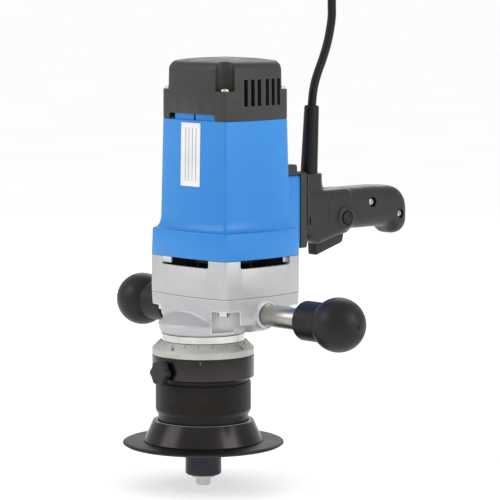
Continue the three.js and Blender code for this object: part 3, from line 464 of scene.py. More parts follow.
def bevelled(obj, width, segments=2, angle=35):
    limit = math.radians(angle)
    return applied(obj, "BEVEL", width=width, segments=segments, limit_method="ANGLE", angle_limit=limit)


def finished(obj, material, body, nodes=(), angle=35):
    obj.scale = (0.001, 0.001, 0.001)
    settle(obj)
    bpy.ops.object.shade_smooth_by_angle(angle=math.radians(angle))
    obj.data.materials.clear()
    obj.data.materials.append(finishes[material])
    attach(obj, body)
    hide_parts(*nodes)
    return obj


# lead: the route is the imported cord's, then five turns that lie on and beside each other
leadSettings = {
    "diameter": 8.8,
    "length": 2.7,
    "route": [
        (0, 152.3, 368), (0, 153.2, 380), (0, 156, 396), (0, 161, 409), (0, 168, 423), (0, 174.5, 438),
        (0, 179.2, 454), (0, 181.6, 468), (1, 180.6, 483), (4, 181.5, 511), (12, 190, 541), (25, 206, 563),
        (43, 224, 577), (63, 243, 581), (83, 262, 577), (102, 280, 563), (116, 293, 541), (125, 301, 515),
        (129, 305, 485), (131, 307, 445), (134, 310, 395), (138, 313, 340), (143, 315, 285), (148, 316, 230),
        (153, 316, 185), (158, 314, 142), (161.5, 309, 106), (163, 302, 78), (161, 297, 57), (154.5, 298, 42),
        (146.5, 306, 33.5),
    ],
    "start": 212,
    "turnSteps": 16,
    "layers": [(48.5, 22.8), (44.1, 14), (44.1, 5.2), (52.9, 5.2), (52.9, 14)],
    "changes": [300, 240, 180, 120],
    "changeOver": 60,
}


def coilPoints(settings):
    low, high = nodeBox("cord_coil")
    centre = (low + high) / 2
    points = []
    layers, start, slide = settings["layers"], settings["start"], settings["changeOver"]
    step = 360 / settings["turnSteps"]
    total = round((start + 360 * len(layers)) / step)
    for i in range(total + 1):
        travelled = i * step
        place = 0
        for turn, change in enumerate(settings["changes"]):
            passed = travelled - (turn * 360 + change - slide)
            place += min(1, max(0, passed / slide))
        index = min(int(place), len(layers) - 1)
        here = Vector(layers[index])
        after = Vector(layers[min(index + 1, len(layers) - 1)])
        radius, z = here.lerp(after, place - index)
        a = math.radians(start - travelled)
        points.append((centre.x + radius * math.cos(a), centre.y + radius * math.sin(a), z))
    return points


def makeLead(settings):
    low, high = nodeBox("cord_coil")
    centre = (low + high) / 2
    plugLow, plugHigh = nodeBox("plug")
    plugZ = (plugLow.z + plugHigh.z) / 2
    outer, level = settings["layers"][-1]
    x = centre.x + outer
    points = settings["route"] + coilPoints(settings)
    points.append((x, centre.y - 14, (level + plugZ) / 2))
    points += [(x, plugHigh.y - 4, plugZ), (x, plugHigh.y - 12, plugZ)]
    curve = bpy.data.curves.new("powerCordLine", "CURVE")
    curve.dimensions = "3D"
    curve.resolution_u = 6
    curve.bevel_depth = settings["diameter"] / 2000
    curve.bevel_resolution = 6
    curve.use_fill_caps = True
    spline = curve.splines.new("BEZIER")
    spline.bezier_points.add(len(points) - 1)
    for knot, point in zip(spline.bezier_points, points):
        knot.co = Vector(point) / 1000
        knot.handle_left_type = "AUTO"
        knot.handle_right_type = "AUTO"
    obj = bpy.data.objects.new("powerCord", curve)
    bpy.context.scene.collection.objects.link(obj)
    curve.materials.append(finishes["rubber"])
    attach(obj, "housing")
    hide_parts("power_cord", "cord_coil")
    return obj


powerCord = makeLead(leadSettings)
print("lead laid")


# casings: squares with bowed sides about the motor's axis, given as (half width at a corner, z) levels
casingSettings = {
    "corner": 4,
    "bow": 0.055,
    "crown": 43.4,
    "wide": 1.043,
    "widening": 0.0005,
    "sideSteps": 10,
    "cornerSteps": 4,
}


# the casings are a little wider along X than along Y, and more so towards the base
def casingStretch(half):
    s = casingSettings
    wide = s["wide"] + max(0, half - s["crown"]) * s["widening"]
    return wide, 1 / math.sqrt(wide)


def casingOutline(half, z):
    wide, deep = casingStretch(half)
    corner = half - casingSettings["corner"] / math.sqrt(2)
    rise = casingSettings["bow"] * 2 * corner
    radius = (corner**2 + rise**2) / (2 * rise)
    swing = math.degrees(math.asin(corner / radius))
    side = arcPoints((corner + rise - radius, 0), radius + casingSettings["corner"], -swing, swing,
                     casingSettings["sideSteps"])
    turn = arcPoints((corner, corner), casingSettings["corner"], swing, 90 - swing,
                     casingSettings["cornerSteps"])
    points = []
    for quarter in range(4):
        c, s = [(1, 0), (0, 1), (-1, 0), (0, -1)][quarter]
        points += [((x * c - y * s) * wide, motorY + (x * s + y * c) * deep, z) for x, y in side + turn[1:-1]]
    return points


def casing(name, levels):
    obj = drawFace(name, casingOutline(*levels[0]))
    for (half, z), (nextHalf, nextZ) in zip(levels, levels[1:]):
        bpy.ops.mesh.extrude_region_move(TRANSFORM_OT_translate={"value": (0, 0, nextZ - z)})
        grow = [nextHalf * b / (half * a) for a, b in zip(casingStretch(half), casingStretch(nextHalf))]
        bpy.ops.transform.resize(value=(*grow, 1), center_override=(0, motorY, 0))
    closeShell()
    return obj


def cornerSpots(reach, z=0):
    wide, deep = casingStretch(casingSettings["crown"])
    step = reach / math.sqrt(2)
    return [(x * step * wide, motorY + y * step * deep, z) for x, y in diagonals]


def atCorners(make, reach):
    return [turnedTo(make(), spot=spot) for spot in cornerSpots(reach)]


coverSettings = {
    "half": 43.4,
    "wall": 2.5,
    "shoulder": 8.5,
    "dome": 2.6,
    "lift": 1.4,
    "pocketRadius": 9.5,
    "pocketReach": 57,
    "pocketFloor": 398,
    "ventWidth": 4.8,
    "ventPitch": 8.6,
    "ventShift": 4.5,
    "ventGap": 5.6,
    "ventLow": 382.8,
    "ventHigh": 409.2,
    "notchHalf": 33,
    "notchHeight": 6,
}


def makeCover(s):
    low, high = nodeBox("top_cover")
    half, wall, bend = s["half"], s["wall"], s["shoulder"]
    top = high.z + s["lift"]
    crown = arcPoints((half - 0.4 - bend, top - s["dome"] - bend), bend, 0, 80, 8)
    dome = [(half - 16, top - s["dome"] * 0.45), (half - 22, top - s["dome"] * 0.12), (half - 28, top)]
    obj = casing("topCover", [(half, low.z), (half - 0.1, low.z + 30)] + crown + dome)
    inner = half - wall
    room = casing("room", [(inner, low.z - 1), (inner - 0.5, high.z - 11), (inner - 6, high.z - 6)])
    radius, floor, reach = s["pocketRadius"], s["pocketFloor"], s["pocketReach"]
    guards = atCorners(lambda: rod("guard", radius + wall, floor - 6, high.z + 4), reach)
    carved(room, *guards)
    pockets = atCorners(lambda: rod("pocket", radius, floor, high.z + 4, 64), reach)
    face, across = motorY - half, s["notchHalf"]
    notch = block("notch", (-across, face - 12, low.z - 1), (across, face + 6, low.z + s["notchHeight"]))
    bevelled(notch, 1.5, 3)
    vents = []
    for side in (-1, 1):
        for group in (-1, 1):
            for i in range(3):
                y = motorY + s["ventShift"] + group * (s["ventGap"] + i * s["ventPitch"])
                near, far = sorted((side * (half - 8), side * (half + 12)))
                wide = s["ventWidth"] / 2
                vent = block("vent", (near, y - wide, s["ventLow"]), (far, y + wide, s["ventHigh"]))
                vents.append(bevelled(vent, 0.7, 2))
    carved(obj, room, notch, *pockets)
    bevelled(obj, 0.9, 3, 40)
    carved(obj, *vents)
    return finished(obj, "cover", "housing", ["top_cover"])


def copiesOf(obj, spots):
    pieces = []
    for spot in spots:
        alone(obj)
        bpy.ops.object.duplicate()
        pieces.append(turnedTo(bpy.context.object, spot=spot))
    bpy.data.objects.remove(obj)
    return pieces


screwSettings = {"head": 4.6, "height": 3, "shank": 2, "length": 18, "slot": 1.1, "reach": 55}


def crossScrew(name, s):
    head, height = s["head"], s["height"]
    dome = arcPoints((head - 2.2, height - 2.2), 2.2, 0, 80, 5)
    shank = [(0, -s["length"]), (s["shank"], -s["length"]), (s["shank"], 0)]
    obj = turned(name, shank + [(head, 0)] + dome + [(0, height)], 48)
    arm, wide = head * 0.62, s["slot"] / 2
    carved(obj, block("slotA", (-arm, -wide, height - 1.5), (arm, wide, height + 1)),
           block("slotB", (-wide, -arm, height - 1.5), (wide, arm, height + 1)))
    return obj


def makeCoverScrews(s):
    spots = cornerSpots(s["reach"], coverSettings["pocketFloor"] + 0.1)
    for i, obj in enumerate(copiesOf(crossScrew("coverScrew", s), spots)):
        obj.name = f"coverScrew{i + 1}"
        finished(obj, "bright", "housing", [f"cover_screw_{i + 1}"])


housingSettings = {
    "base": 51.9,
    "wall": 3,
    "band": 51.2,
    "bandHeight": 27,
    "waist": 45.1,
    "flare": 14,
    "crown": 43.4,
    "earHalf": 16,
    "earEnd": 120.3,
    "earTop": 307.5,
    "lip": 40.6,
    "lipRise": 8,
    "lipGaps": [(2.5, 5.5), (-60, -27)],
}


def makeHousing(s):
    bottom = nodeBox("upper_gear_case")[1].z + seam
    top = nodeBox("top_cover")[0].z - seam
    shoulder = bottom + s["bandHeight"]
    ledge = s["band"] - 1.6
    edge = arcPoints((s["band"] - 1.3, shoulder - 1.3), 1.3, 0, 80, 4)
    cove = []
    for i in range(9):
        a = math.radians(i * 90 / 8)
        half = ledge - (ledge - s["waist"]) * math.sin(a)
        cove.append((half, shoulder + 0.3 + (s["flare"] - 0.3) * (1 - math.cos(a))))
    rim = [(s["crown"] + 0.05, top - 0.5), (s["crown"] - 0.4, top)]
    obj = casing("motorHousing", [(s["base"], bottom)] + edge + cove + rim)
    lip = casing("lip", [(s["lip"], top - 4), (s["lip"], top + s["lipRise"])])
    face = motorY - s["lip"]
    gaps = [block("gap", (x0, face - 14, top), (x1, face + 12, top + 12)) for x0, x1 in s["lipGaps"]]
    hollow = casing("hollow", [(s["lip"] - 2.2, top - 10), (s["lip"] - 2.2, top + 12)])
    carved(lip, *gaps)
    side, crest = s["earHalf"], s["earTop"]
    outline = [(-side, bottom), (side, bottom), (side, crest, 5), (-side, crest, 5)]
    ear = extruded("ear", outline, "Y", motorY + s["waist"] - 8, s["earEnd"])
    joined(obj, ear)
    bevelled(obj, 0.5, 2, 50)
    inside = [(s["base"], bottom - 1), (s["band"], shoulder - 3), (s["waist"], shoulder + s["flare"] - 2)]
    base = casing("base", [(half - s["wall"], z) for half, z in inside])
    joined(obj, lip)
    carved(obj, hollow, base)
    return finished(obj, "blue", "housing", ["motor_housing"])


labelSettings = {"proud": 0.3, "film": 0.4}


def makeLabel(s):
    low, high = nodeBox("rating_label")
    rise = housingSettings["bandHeight"] + housingSettings["flare"]
    shoulder = nodeBox("upper_gear_case")[1].z + seam + rise
    top = nodeBox("top_cover")[0].z
    shells = []
    for extra in (s["proud"] + s["film"], s["proud"] - 0.2):
        levels = [(housingSettings["waist"] + extra, shoulder), (housingSettings["crown"] + extra, top)]
        shells.append(casing("shell", levels))
    obj = block("ratingLabel", (low.x, low.y - 5, low.z), (high.x, high.y + 5, high.z))
    bevelled(obj, 1, 3)
    combined(obj, "INTERSECT", shells[:1])
    carved(obj, shells[1])
    return finished(obj, "label", "housing", ["rating_label"])


caseSettings = {
    "half": 51.9,
    "wall": 4,
    "windowHalf": 34,
    "windowHeight": 8,
    "floor": 210,
    "pocketRadius": 14,
    "pocketX": 46.5,
    "pocketY": 42.9,
    "pocketTop": 181,
    "screwX": 44,
    "nose": 42.6,
    "noseRing": 3.8,
    "neckHole": 31.3,
    "bossRadius": 14.5,
    "bossReach": 62,
    "bossRim": 2.2,
    "rib": [(30, 1.5), (45, 1.5), (52, 3.5), (57.5, 8.5), (60, 20), (30, 20)],
    "ribHalf": 13,
    "baffle": (39, 62),
    "handleZ": 175,
    "grain": 1.3,
}


def makeUpperCase(s):
    low, high = nodeBox("upper_gear_case")
    half, wide = s["half"], s["windowHalf"]
    levels = [(half - 0.4, low.z), (half, low.z + 0.4), (half, high.z - 0.3), (half - 0.3, high.z)]
    obj = casing("upperGearCase", levels)
    room = casing("room", [(half - s["wall"], s["floor"]), (half - s["wall"], high.z + 2)])
    windows = []
    for turn in range(4):
        sill = high.z - s["windowHeight"]
        window = block("window", (-wide, -half - 20, sill), (wide, -half + 14, high.z + 8))
        bevelled(window, 2.4, 4)
        near, far = (wide - 13, wide + 2) if turn in (1, 3) else (-wide - 2, 13 - wide)
        step = sill + 2.2
        carved(window, block("ledge", (near, -half - 2.5, step), (far, -half + 14, high.z + 9)))
        turnedTo(window, (0, 0, 90 * turn), (0, motorY, 0))
        windows.append(window)
    carved(obj, room, *windows)
    baffles = []
    for i in range(4):
        near, far = s["baffle"]
        baffle = block("baffle", (near, -1.5, s["floor"] - 1), (far, 1.5, high.z - 0.5))
        baffles.append(turnedTo(baffle, (0, 0, 45 + 90 * i), (0, motorY, 0)))
    joined(obj, *baffles)
    bevelled(obj, 0.35, 2, 45)
    finished(obj, "cast", "housing", ["upper_gear_case"])
    # faces inside the casting, baffles included, take the black plastic finish: painted shade for the hollow
    # seen through the fan windows
    obj.data.materials.append(finishes["dark"])
    inner = half - s["wall"] + 3
    for face in obj.data.polygons:
        x, y, z = face.center * 1000
        if max(abs(x), abs(y - motorY)) < inner and z > s["floor"] - 0.5 and face.normal.z > -0.5:
            face.material_index = 1


def remeshed(obj, size, rounds, factor=0.5):
    applied(obj, "REMESH", mode="VOXEL", voxel_size=size, use_smooth_shade=True)
    return applied(obj, "SMOOTH", factor=factor, iterations=rounds)


def makeLowerCase(s):
    low, high = nodeBox("lower_gear_case")
    half, nose = s["half"], s["nose"]
    obj = casing("lowerGearCase", [
        (half - 9, low.z + 8.6), (half - 4, low.z + 11), (half - 1.2, low.z + 17.5), (half - 0.2, high.z - 8),
        (half, high.z + 6),
    ])
    swell = turned("swell", [
        (0, low.z), (nose, low.z), (nose + 2.6, low.z + 9), (nose + 2.6, low.z + 10.4),
        (nose - 12, low.z + 20.6), (nose - 22, low.z + 24), (0, low.z + 24),
    ])
    bosses = []
    for side in (-1, 1):
        boss = rod("boss", s["bossRadius"], 34, s["bossReach"])
        bevelled(boss, 1.2, 3)
        bosses.append(turnedTo(boss, (0, 90 * side, 0), (0, motorY, s["handleZ"])))
        outline = [(side * x, low.z + rise) for x, rise in s["rib"]]
        rib = extruded("rib", outline, "Y", motorY - s["ribHalf"], motorY + s["ribHalf"])
        bosses.append(bevelled(rib, 3, 3))
    joined(obj, swell, *bosses)
    remeshed(obj, s["grain"], 5)
    pockets = []
    screwHoles = []
    for x, y in diagonals:
        pocket = rod("pocket", s["pocketRadius"], low.z + s["noseRing"], s["pocketTop"], 64)
        pockets.append(turnedTo(pocket, spot=(x * s["pocketX"], motorY + y * s["pocketY"], 0)))
    for side in (-1, 1):
        hole = rod("seat", s["bossRadius"] - s["bossRim"], s["bossReach"] - 1.5, s["bossReach"] + 8)
        screwHoles.append(turnedTo(hole, (0, 90 * side, 0), (0, motorY, s["handleZ"])))
    lid = block("lid", (-90, -60, high.z), (90, 130, high.z + 20))
    bore = rod("bore", s["neckHole"], low.z - 2, low.z + 9, 72)
    flat = block("flat", (-90, -60, low.z - 9), (90, 130, low.z))
    carved(obj, lid, flat, bore, *pockets, *screwHoles)
    bevelled(obj, 0.35, 2, 55)
    return finished(obj, "cast", "housing", ["lower_gear_case"], 50)


def makeCaseScrews(s):
    seat = s["pocketTop"] - 0.2
    profile = [(0, -5), (5.4, -5), (6, -4.4), (6, 0), (3, 0), (3, 8), (0, 8)]
    obj = turned("caseScrew", profile, 48)
    bpy.ops.object.select_all(action="DESELECT")
    bpy.ops.mesh.primitive_cylinder_add(vertices=6, radius=2.9, depth=6, location=(0, 0, -5))
    carved(obj, settle(bpy.context.object))
    spots = [(x * s["screwX"], motorY + y * s["pocketY"], seat) for x, y in diagonals]
    for i, piece in enumerate(copiesOf(obj, spots)):
        piece.name = f"caseScrew{i + 1}"
        finished(piece, "bright", "housing", [f"case_screw_{i + 1}"])


makeCover(coverSettings)
makeCoverScrews(screwSettings)
makeHousing(housingSettings)
makeLabel(labelSettings)
print("cover and motor housing done")
makeUpperCase(caseSettings)
makeLowerCase(caseSettings)
makeCaseScrews(caseSettings)
print("gear case done")


# spindle end
neckSettings = {"bore": 24, "pitch": 1.5, "depth": 0.75, "polished": 5.5, "spigot": 31}


def makeNeck(s):
    low, high = nodeBox("neck_sleeve")
    outer, bore, spigot = high.x, s["bore"], s["spigot"]
    seat = nodeBox("lower_gear_case")[0].z - seam
    profile = [(bore, low.z), (outer - 1, low.z), (outer, low.z + 1)]
    z = low.z + 2
    while z < seat - s["polished"] - s["pitch"]:
        profile += [(outer, z), (outer - s["depth"], z + s["pitch"] / 2)]
        z += s["pitch"]
    profile += [(outer, z), (outer, seat), (spigot, seat), (spigot, high.z), (bore, high.z), (bore, low.z)]
    return finished(turned("neckSleeve", profile, 128), "bright", "housing", ["neck_sleeve"])


rollerSettings = {"bore": 12.4, "bearingBore": 4.3}


def makeRoller(s):
    low, high = nodeBox("pilot_roller")
    radius, bore = high.x, s["bore"]
    profile = [
        (bore, low.z), (radius - 1.5, low.z, 0.3), (radius, low.z + 1.5, 0.5), (radius, high.z, 0.8),
        (bore, high.z), (bore, low.z),
    ]
    obj = turned("pilotRoller", profile, 96)
    finished(obj, "roller", "roller", ["pilot_roller"])
    low, high = nodeBox("pilot_bearing")
    inner, outer = s["bearingBore"], high.x
    profile = [
        (inner, low.z), (7, low.z, 0.4), (7.2, low.z + 0.6), (9.4, low.z + 0.6), (9.6, low.z),
        (outer, low.z, 0.4), (outer, high.z, 0.4), (inner, high.z), (inner, low.z),
    ]
    finished(turned("pilotBearing", profile), "bright", "spindle", ["pilot_bearing"])


boltSettings = {"flats": 13, "shank": 4}


def makeBolt(s):
    low, high = nodeBox("pilot_bolt")
    head = nodeBox("pilot_bearing")[0].z - seam
    bpy.ops.object.select_all(action="DESELECT")
    radius = s["flats"] / math.sqrt(3)
    bpy.ops.mesh.primitive_cylinder_add(vertices=6, radius=radius, depth=head, location=(0, 0, head / 2))
    obj = turnedTo(bpy.context.object, (0, 0, 30), (0, 0, head / 2))
    obj.name = "pilotBolt"
    outer = radius + 0.6
    crown = turned("crown", [
        (0, low.z - 1), (s["flats"] / 2 - 0.4, low.z), (outer, low.z + 1.8), (outer, head), (0, head),
    ])
    combined(obj, "INTERSECT", [crown])
    shank = rod("shank", s["shank"], head - 1, high.z)
    joined(obj, shank)
    dimple = turned("dimple", [(0, low.z - 1), (3.6, low.z - 1), (3.2, low.z + 0.5), (0, low.z + 0.8)], 48)
    carved(obj, dimple)
    return finished(obj, "bright", "spindle", ["pilot_bolt"], 25)


cutterSettings = {"radius": 33, "foot": 16.1, "bore": 8.3, "gullet": 7, "insert": 12.7, "thickness": 3}


def insertSpot(s):
    return 0, s["radius"] - 9.5, nodeBox("cutter_head")[0].z + 11


def insertBlock(s, extra):
    half = s["insert"] / 2 + extra
    thick = s["thickness"] / 2 + extra
    obj = block("cuttingInsert", (-thick, -half, -half), (thick, half, half))
    return turnedTo(obj, (45, 0, 0), insertSpot(s))


def makeCutter(s):
    low, high = nodeBox("cutter_head")
    radius, foot, bore = s["radius"], s["foot"], s["bore"]
    obj = turned("cutterHead", [
        (bore, low.z), (foot, low.z), (radius, low.z + radius - foot), (radius, high.z, 1), (bore, high.z),
        (bore, low.z),
    ], 96)
    for i in range(3):
        seat = turnedTo(insertBlock(s, 0.3), (0, 0, 120 * i))
        gullet = rod("gullet", s["gullet"], low.z - 4, low.z + 26, 48)
        turnedTo(gullet, (0, 0, 0), (s["gullet"] + 1.2, s["radius"] - 3, 0))
        carved(obj, seat, turnedTo(gullet, (0, 0, 120 * i)))
    bevelled(obj, 0.3, 2, 40)
    finished(obj, "cutter", "spindle", ["cutter_head"])
    for i in range(3):
        tip = insertBlock(s, 0)
        tip.name = f"cuttingInsert{i + 1}"
        bevelled(tip, 0.5, 2)
        hole = rod("hole", 2.2, -4, 4, 24)
        turnedTo(hole, (0, 90, 0), insertSpot(s))
        carved(tip, hole)
        turnedTo(tip, (0, 0, 120 * i))
        finished(tip, "insert", "spindle", [f"cutting_insert_{i + 1}"])


makeNeck(neckSettings)
makeRoller(rollerSettings)
makeBolt(boltSettings)
makeCutter(cutterSettings)
print("spindle end done")


# depth carriage
scaleSettings = {
    "band": 6.5,
    "top": 43.4,
    "bore": 42.5,
    "divisions": 20,
    "first": -84.6,
    "figures": ["0", "5", "10", "15"],
}


def makeScaleRing(s):
    low, high = nodeBox("scale_ring")
    outer = high.x
    obj = turned("scaleRing", [
        (s["bore"], low.z), (outer, low.z, 0.5), (outer, low.z + s["band"], 0.6), (s["top"], high.z, 0.5),
        (s["bore"], high.z), (s["bore"], low.z),
    ], 160)
    finished(obj, "scale", "carriage", ["scale_ring"])
    tilt = math.atan2(high.z - low.z - s["band"], outer - s["top"])
    slope = math.degrees(tilt)
    marks = []
    for i in range(s["divisions"]):
        turn = s["first"] + i * 360 / s["divisions"]
        long = 5.2 if i % 5 == 0 else 3.1
        mark = block("mark", (-long, -0.28, -0.3), (0, 0.28, 0.12))
        bevelled(mark, 0.06, 1)
        across = 0.9 + long * math.cos(tilt)
        turnedTo(mark, (0, slope, 0), (s["top"] + across, 0, 0))
        marks.append(turnedTo(mark, (0, 0, turn), (0, 0, high.z - across * math.tan(tilt))))
    for i, figure in enumerate(s["figures"]):
        bpy.ops.object.select_all(action="DESELECT")
        bpy.ops.object.text_add()
        text = bpy.context.object
        text.data.body = figure
        text.data.size = 5.8
        text.data.extrude = 0.2
        text.data.align_x = "CENTER"
        text.data.resolution_u = 3
        bpy.ops.object.convert(target="MESH")
        text = bpy.context.object
        across = 6.5
        turnedTo(text, (0, 0, 90), (0, 3, 0))
        spot = (s["top"] + across, 0, high.z - across * math.tan(tilt) + 0.1)
        turnedTo(text, (0, slope, 0), spot)
        turn = s["first"] + i * 5 * 360 / s["divisions"]
        marks.append(turnedTo(text, (0, 0, turn)))
    bpy.ops.object.select_all(action="DESELECT")
    for mark in marks:
        mark.select_set(True)
    bpy.context.view_layer.objects.active = marks[0]
    bpy.ops.object.join()
    figures = bpy.context.object
    figures.name = "scaleFigures"
    return finished(figures, "ink", "carriage")


clampSettings = {"markAngle": -46, "knobRadius": 12, "lobes": 6, "lobeDepth": 0.9}


def makeClampRing(s):
    low, high = nodeBox("clamp_ring")
    outer = high.x
    bore = nodeBox("guide_sleeve")[1].x + seam
    obj = turned("clampRing", [
        (bore, low.z), (outer - 1, low.z), (outer, low.z + 1.3), (outer, high.z, 0.4), (bore, high.z),
        (bore, low.z),
    ], 160)
    finished(obj, "gloss", "depth_sleeve", ["clamp_ring"])
    mark = block("indexMark", (outer - 0.3, -0.25, high.z - 4.6), (outer + 0.08, 0.25, high.z - 1.6))
    bevelled(mark, 0.06, 1)
    finished(turnedTo(mark, (0, 0, s["markAngle"])), "mark", "depth_sleeve")


def makeKnob(s):
    low, high = nodeBox("lock_knob")
    middle = (low + high) / 2
    outer = nodeBox("clamp_ring")[1].x
    count = s["lobes"] * 10
    outline = []
    for i in range(count):
        a = 2 * math.pi * i / count
        radius = s["knobRadius"] - s["lobeDepth"] * (1 - math.cos(s["lobes"] * a))
        outline.append((radius * math.cos(a), radius * math.sin(a)))
    face = -low.y
    obj = extruded("lockKnob", outline, "Z", outer + 2.2, face)
    bevelled(obj, 1.1, 4, 50)
    hub = turned("hub", [(0, outer + 0.5), (6.4, outer + 0.5), (7.2, outer + 3), (0, outer + 3)], 64)
    stem = rod("stem", 3, outer - 6, outer + 3, 32)
    joined(obj, hub, stem)
    turnedTo(obj, (90, 0, 0), (0, 0, middle.z))
    return finished(obj, "dark", "lock_knob", ["lock_knob"])


def makeKnurledRing():
    low, high = nodeBox("knurled_ring")
    outer = high.x
    bore = nodeBox("guide_sleeve")[1].x + seam
    chamfer = low.z + 3.8
    obj = turned("knurledRing", [
        (bore, low.z), (bore + 0.9, low.z), (outer, chamfer, 0.6), (outer, high.z - 1), (outer - 0.9, high.z),
        (bore, high.z), (bore, low.z),
    ], 160)
    finished(obj, "black", "depth_sleeve", ["knurled_ring"])
    obj.data.materials.append(finishes["knurl"])
    for face in obj.data.polygons:
        middle = face.center * 1000
        if Vector((middle.x, middle.y)).length > outer - 0.3 and chamfer + 0.8 < middle.z < high.z - 1:
            face.material_index = 1


sleeveSettings = {"bore": 42.5}
guideSettings = {"coneTop": 50.6, "bore": 38}


def makeSleeve(s):
    low, high = nodeBox("guide_sleeve")
    outer, bore = high.x, s["bore"]
    obj = turned("guideSleeve", [
        (bore, low.z), (outer, low.z, 0.5), (outer, high.z, 0.5), (bore, high.z), (bore, low.z),
    ], 160)
    return finished(obj, "sleeve", "depth_sleeve", ["guide_sleeve"])


def makeCone(s):
    low, high = nodeBox("guide_cone")
    outer, top, hole = high.x, s["coneTop"], s["bore"]
    bore = nodeBox("guide_sleeve")[1].x + seam
    seat = nodeBox("guide_sleeve")[0].z - seam
    obj = turned("guideCone", [
        (hole, low.z), (outer, low.z, 0.3), (outer - 0.2, low.z + 0.8, 0.3), (top, high.z, 1),
        (bore + 3, high.z, 0.3), (bore + 2.4, high.z - 1.4), (bore, high.z - 1.4), (bore, seat), (hole, seat),
        (hole, low.z),
    ], 160)
    finished(obj, "gloss", "depth_sleeve", ["guide_cone"])
    ring = [(bore + 0.9, high.z - 1.3), (bore + 2.1, high.z - 1.3, 0.3), (bore + 2.1, high.z + 0.1, 0.3),
            (bore + 0.9, high.z + 0.1), (bore + 0.9, high.z - 1.3)]
    return finished(turned("coneCollar", ring, 160), "scale", "depth_sleeve")


def makePlate(s):
    low, high = nodeBox("guide_plate")
    outer, hole = high.x, s["bore"]
    obj = turned("guidePlate", [
        (hole, low.z), (outer - 3, low.z, 0.6), (outer, low.z + 1.9, 0.4), (outer - 0.3, low.z + 3.3, 0.3),
        (outer - 2.2, high.z, 0.5), (hole, high.z, 0.5), (hole, low.z),
    ], 192)
    return finished(obj, "plate", "depth_sleeve", ["guide_plate"])


makeScaleRing(scaleSettings)
makeClampRing(clampSettings)
makeKnob(clampSettings)
makeKnurledRing()
makeSleeve(sleeveSettings)
makeCone(guideSettings)
makePlate(guideSettings)
print("depth carriage done")


# ball handles
gripSettings = {"collar": 19.7, "ball": 26.9, "stud": 11, "flats": 19, "thread": 8, "engaged": 30, "root": 42}


def makeBallHandle(side, s):
    name = "right" if side > 0 else "left"
    gripLow, gripHigh = nodeBox(f"ball_grip_{name}")
    shoulder = caseSettings["bossReach"] + seam
    start = gripLow.x if side > 0 else -gripHigh.x
    end = gripHigh.x if side > 0 else -gripLow.x
    reach = start - shoulder
    radius, thread, depth = s["stud"], s["thread"], start + s["engaged"]
    stud = turned(f"handleStud{name.title()}", [
        (0, s["root"]), (thread, s["root"]), (thread, shoulder), (radius, shoulder, 0.5), (radius, start + 3),
        (thread, start + 3), (thread, depth), (0, depth),
    ], 96)
    flats = []
    for sign in (-1, 1):
        near, far = sorted((sign * s["flats"] / 2, sign * (s["flats"] / 2 + 5)))
        flats.append(block("flat", (near, -20, shoulder + 0.8), (far, 20, shoulder + 0.8 + min(11, reach))))
    carved(stud, *flats)
    bevelled(stud, 0.25, 2, 30)
    turnedTo(stud, (0, 90 * side, 0), (0, motorY, caseSettings["handleZ"]))
    finished(stud, "stud", "housing", [f"handle_stud_{name}"])
    ballAt = end - s["ball"]
    meet = math.degrees(math.acos(s["collar"] / s["ball"]))
    ball = arcPoints((0, ballAt), s["ball"], -meet + 3, 84, 26)
    collar = s["collar"]
    profile = [(radius + 0.4, start + 2.4), (radius + 0.4, start), (collar, start, 2.6)]
    profile += [(collar, ballAt - 19.4), (collar + 0.15, ballAt - 18.2), (collar + 0.7, ballAt - 17.2)]
    profile += ball + [(1.9, end - 0.1), (1.5, end - 0.9), (0, end - 1.2)]
    grip = turned(f"ballGrip{name.title()}", profile, 128)
    turnedTo(grip, (0, 90 * side, 0), (0, motorY, caseSettings["handleZ"]))
    finished(grip, "grip", "housing", [f"ball_grip_{name}"], 40)


makeBallHandle(1, gripSettings)
makeBallHandle(-1, gripSettings)
print("ball handles done")


# switch handle: outlines are (y, z) and drawn out along X, the turret's is (x, y) and drawn out along Z
handleSettings = {
    "half": 17.5,
    "root": 118,
    "start": 129.9,
    "grain": 0.9,
    "rounds": 26,
    "bodyEdge": 7.5,
    "gripEdge": 12,
    "body": [
        (118, 249), (131, 246.5, 6), (137, 238, 6), (148, 232.8, 8), (184, 241.2, 6), (191, 241.8, 5),
        (199, 247.4, 6), (204, 268), (198, 289.6), (118, 289.6),
    ],
    "rim": (132.6, 307),
    "turret": [(-13, 118), (13, 118), (13, 160.2, 9), (-13, 160.2, 9)],
    "turretFoot": 268,
    "saddle": [(150, 288), (172, 288), (163, 290.6), (160.6, 299), (150, 299)],
    "grip": [
        (156, 289.8), (236, 289.4, 80), (283, 286.9, 25), (283, 236.6, 15), (262, 236.6, 8), (253, 245.4, 8),
        (190, 246),
    ],
    "trigger": [
        (146.4, 240), (152.8, 234, 3), (153.4, 222.2), (154.8, 221.4), (190.4, 231.6, 2), (192.8, 233.6),
        (194.2, 240), (194.2, 247.6), (150, 247.6), (146.4, 244.4),
    ],
    "triggerHalf": 6,
    "split": 0.12,
    "bootRadius": 8.9,
    "bootHole": 9.4,
    "button": (185.4, 259),
    "buttonRadius": 6.5,
    "screws": [(226.2, 272.7, 5.4), (268.5, 257.8, 4.8)],
    "slot": (133.6, 259),
    "ridge": (205, 262, 45.5),
}


def lying(obj, y, z):
    return turnedTo(obj, (0, 90, 0), (0, y, z))


def roundedSlab(name, outline, half, width, segments):
    obj = extruded(name, outline, "X", -half, half)
    return applied(obj, "BEVEL", width=width, segments=segments, limit_method="ANGLE",
                   angle_limit=math.radians(60), use_clamp_overlap=False)


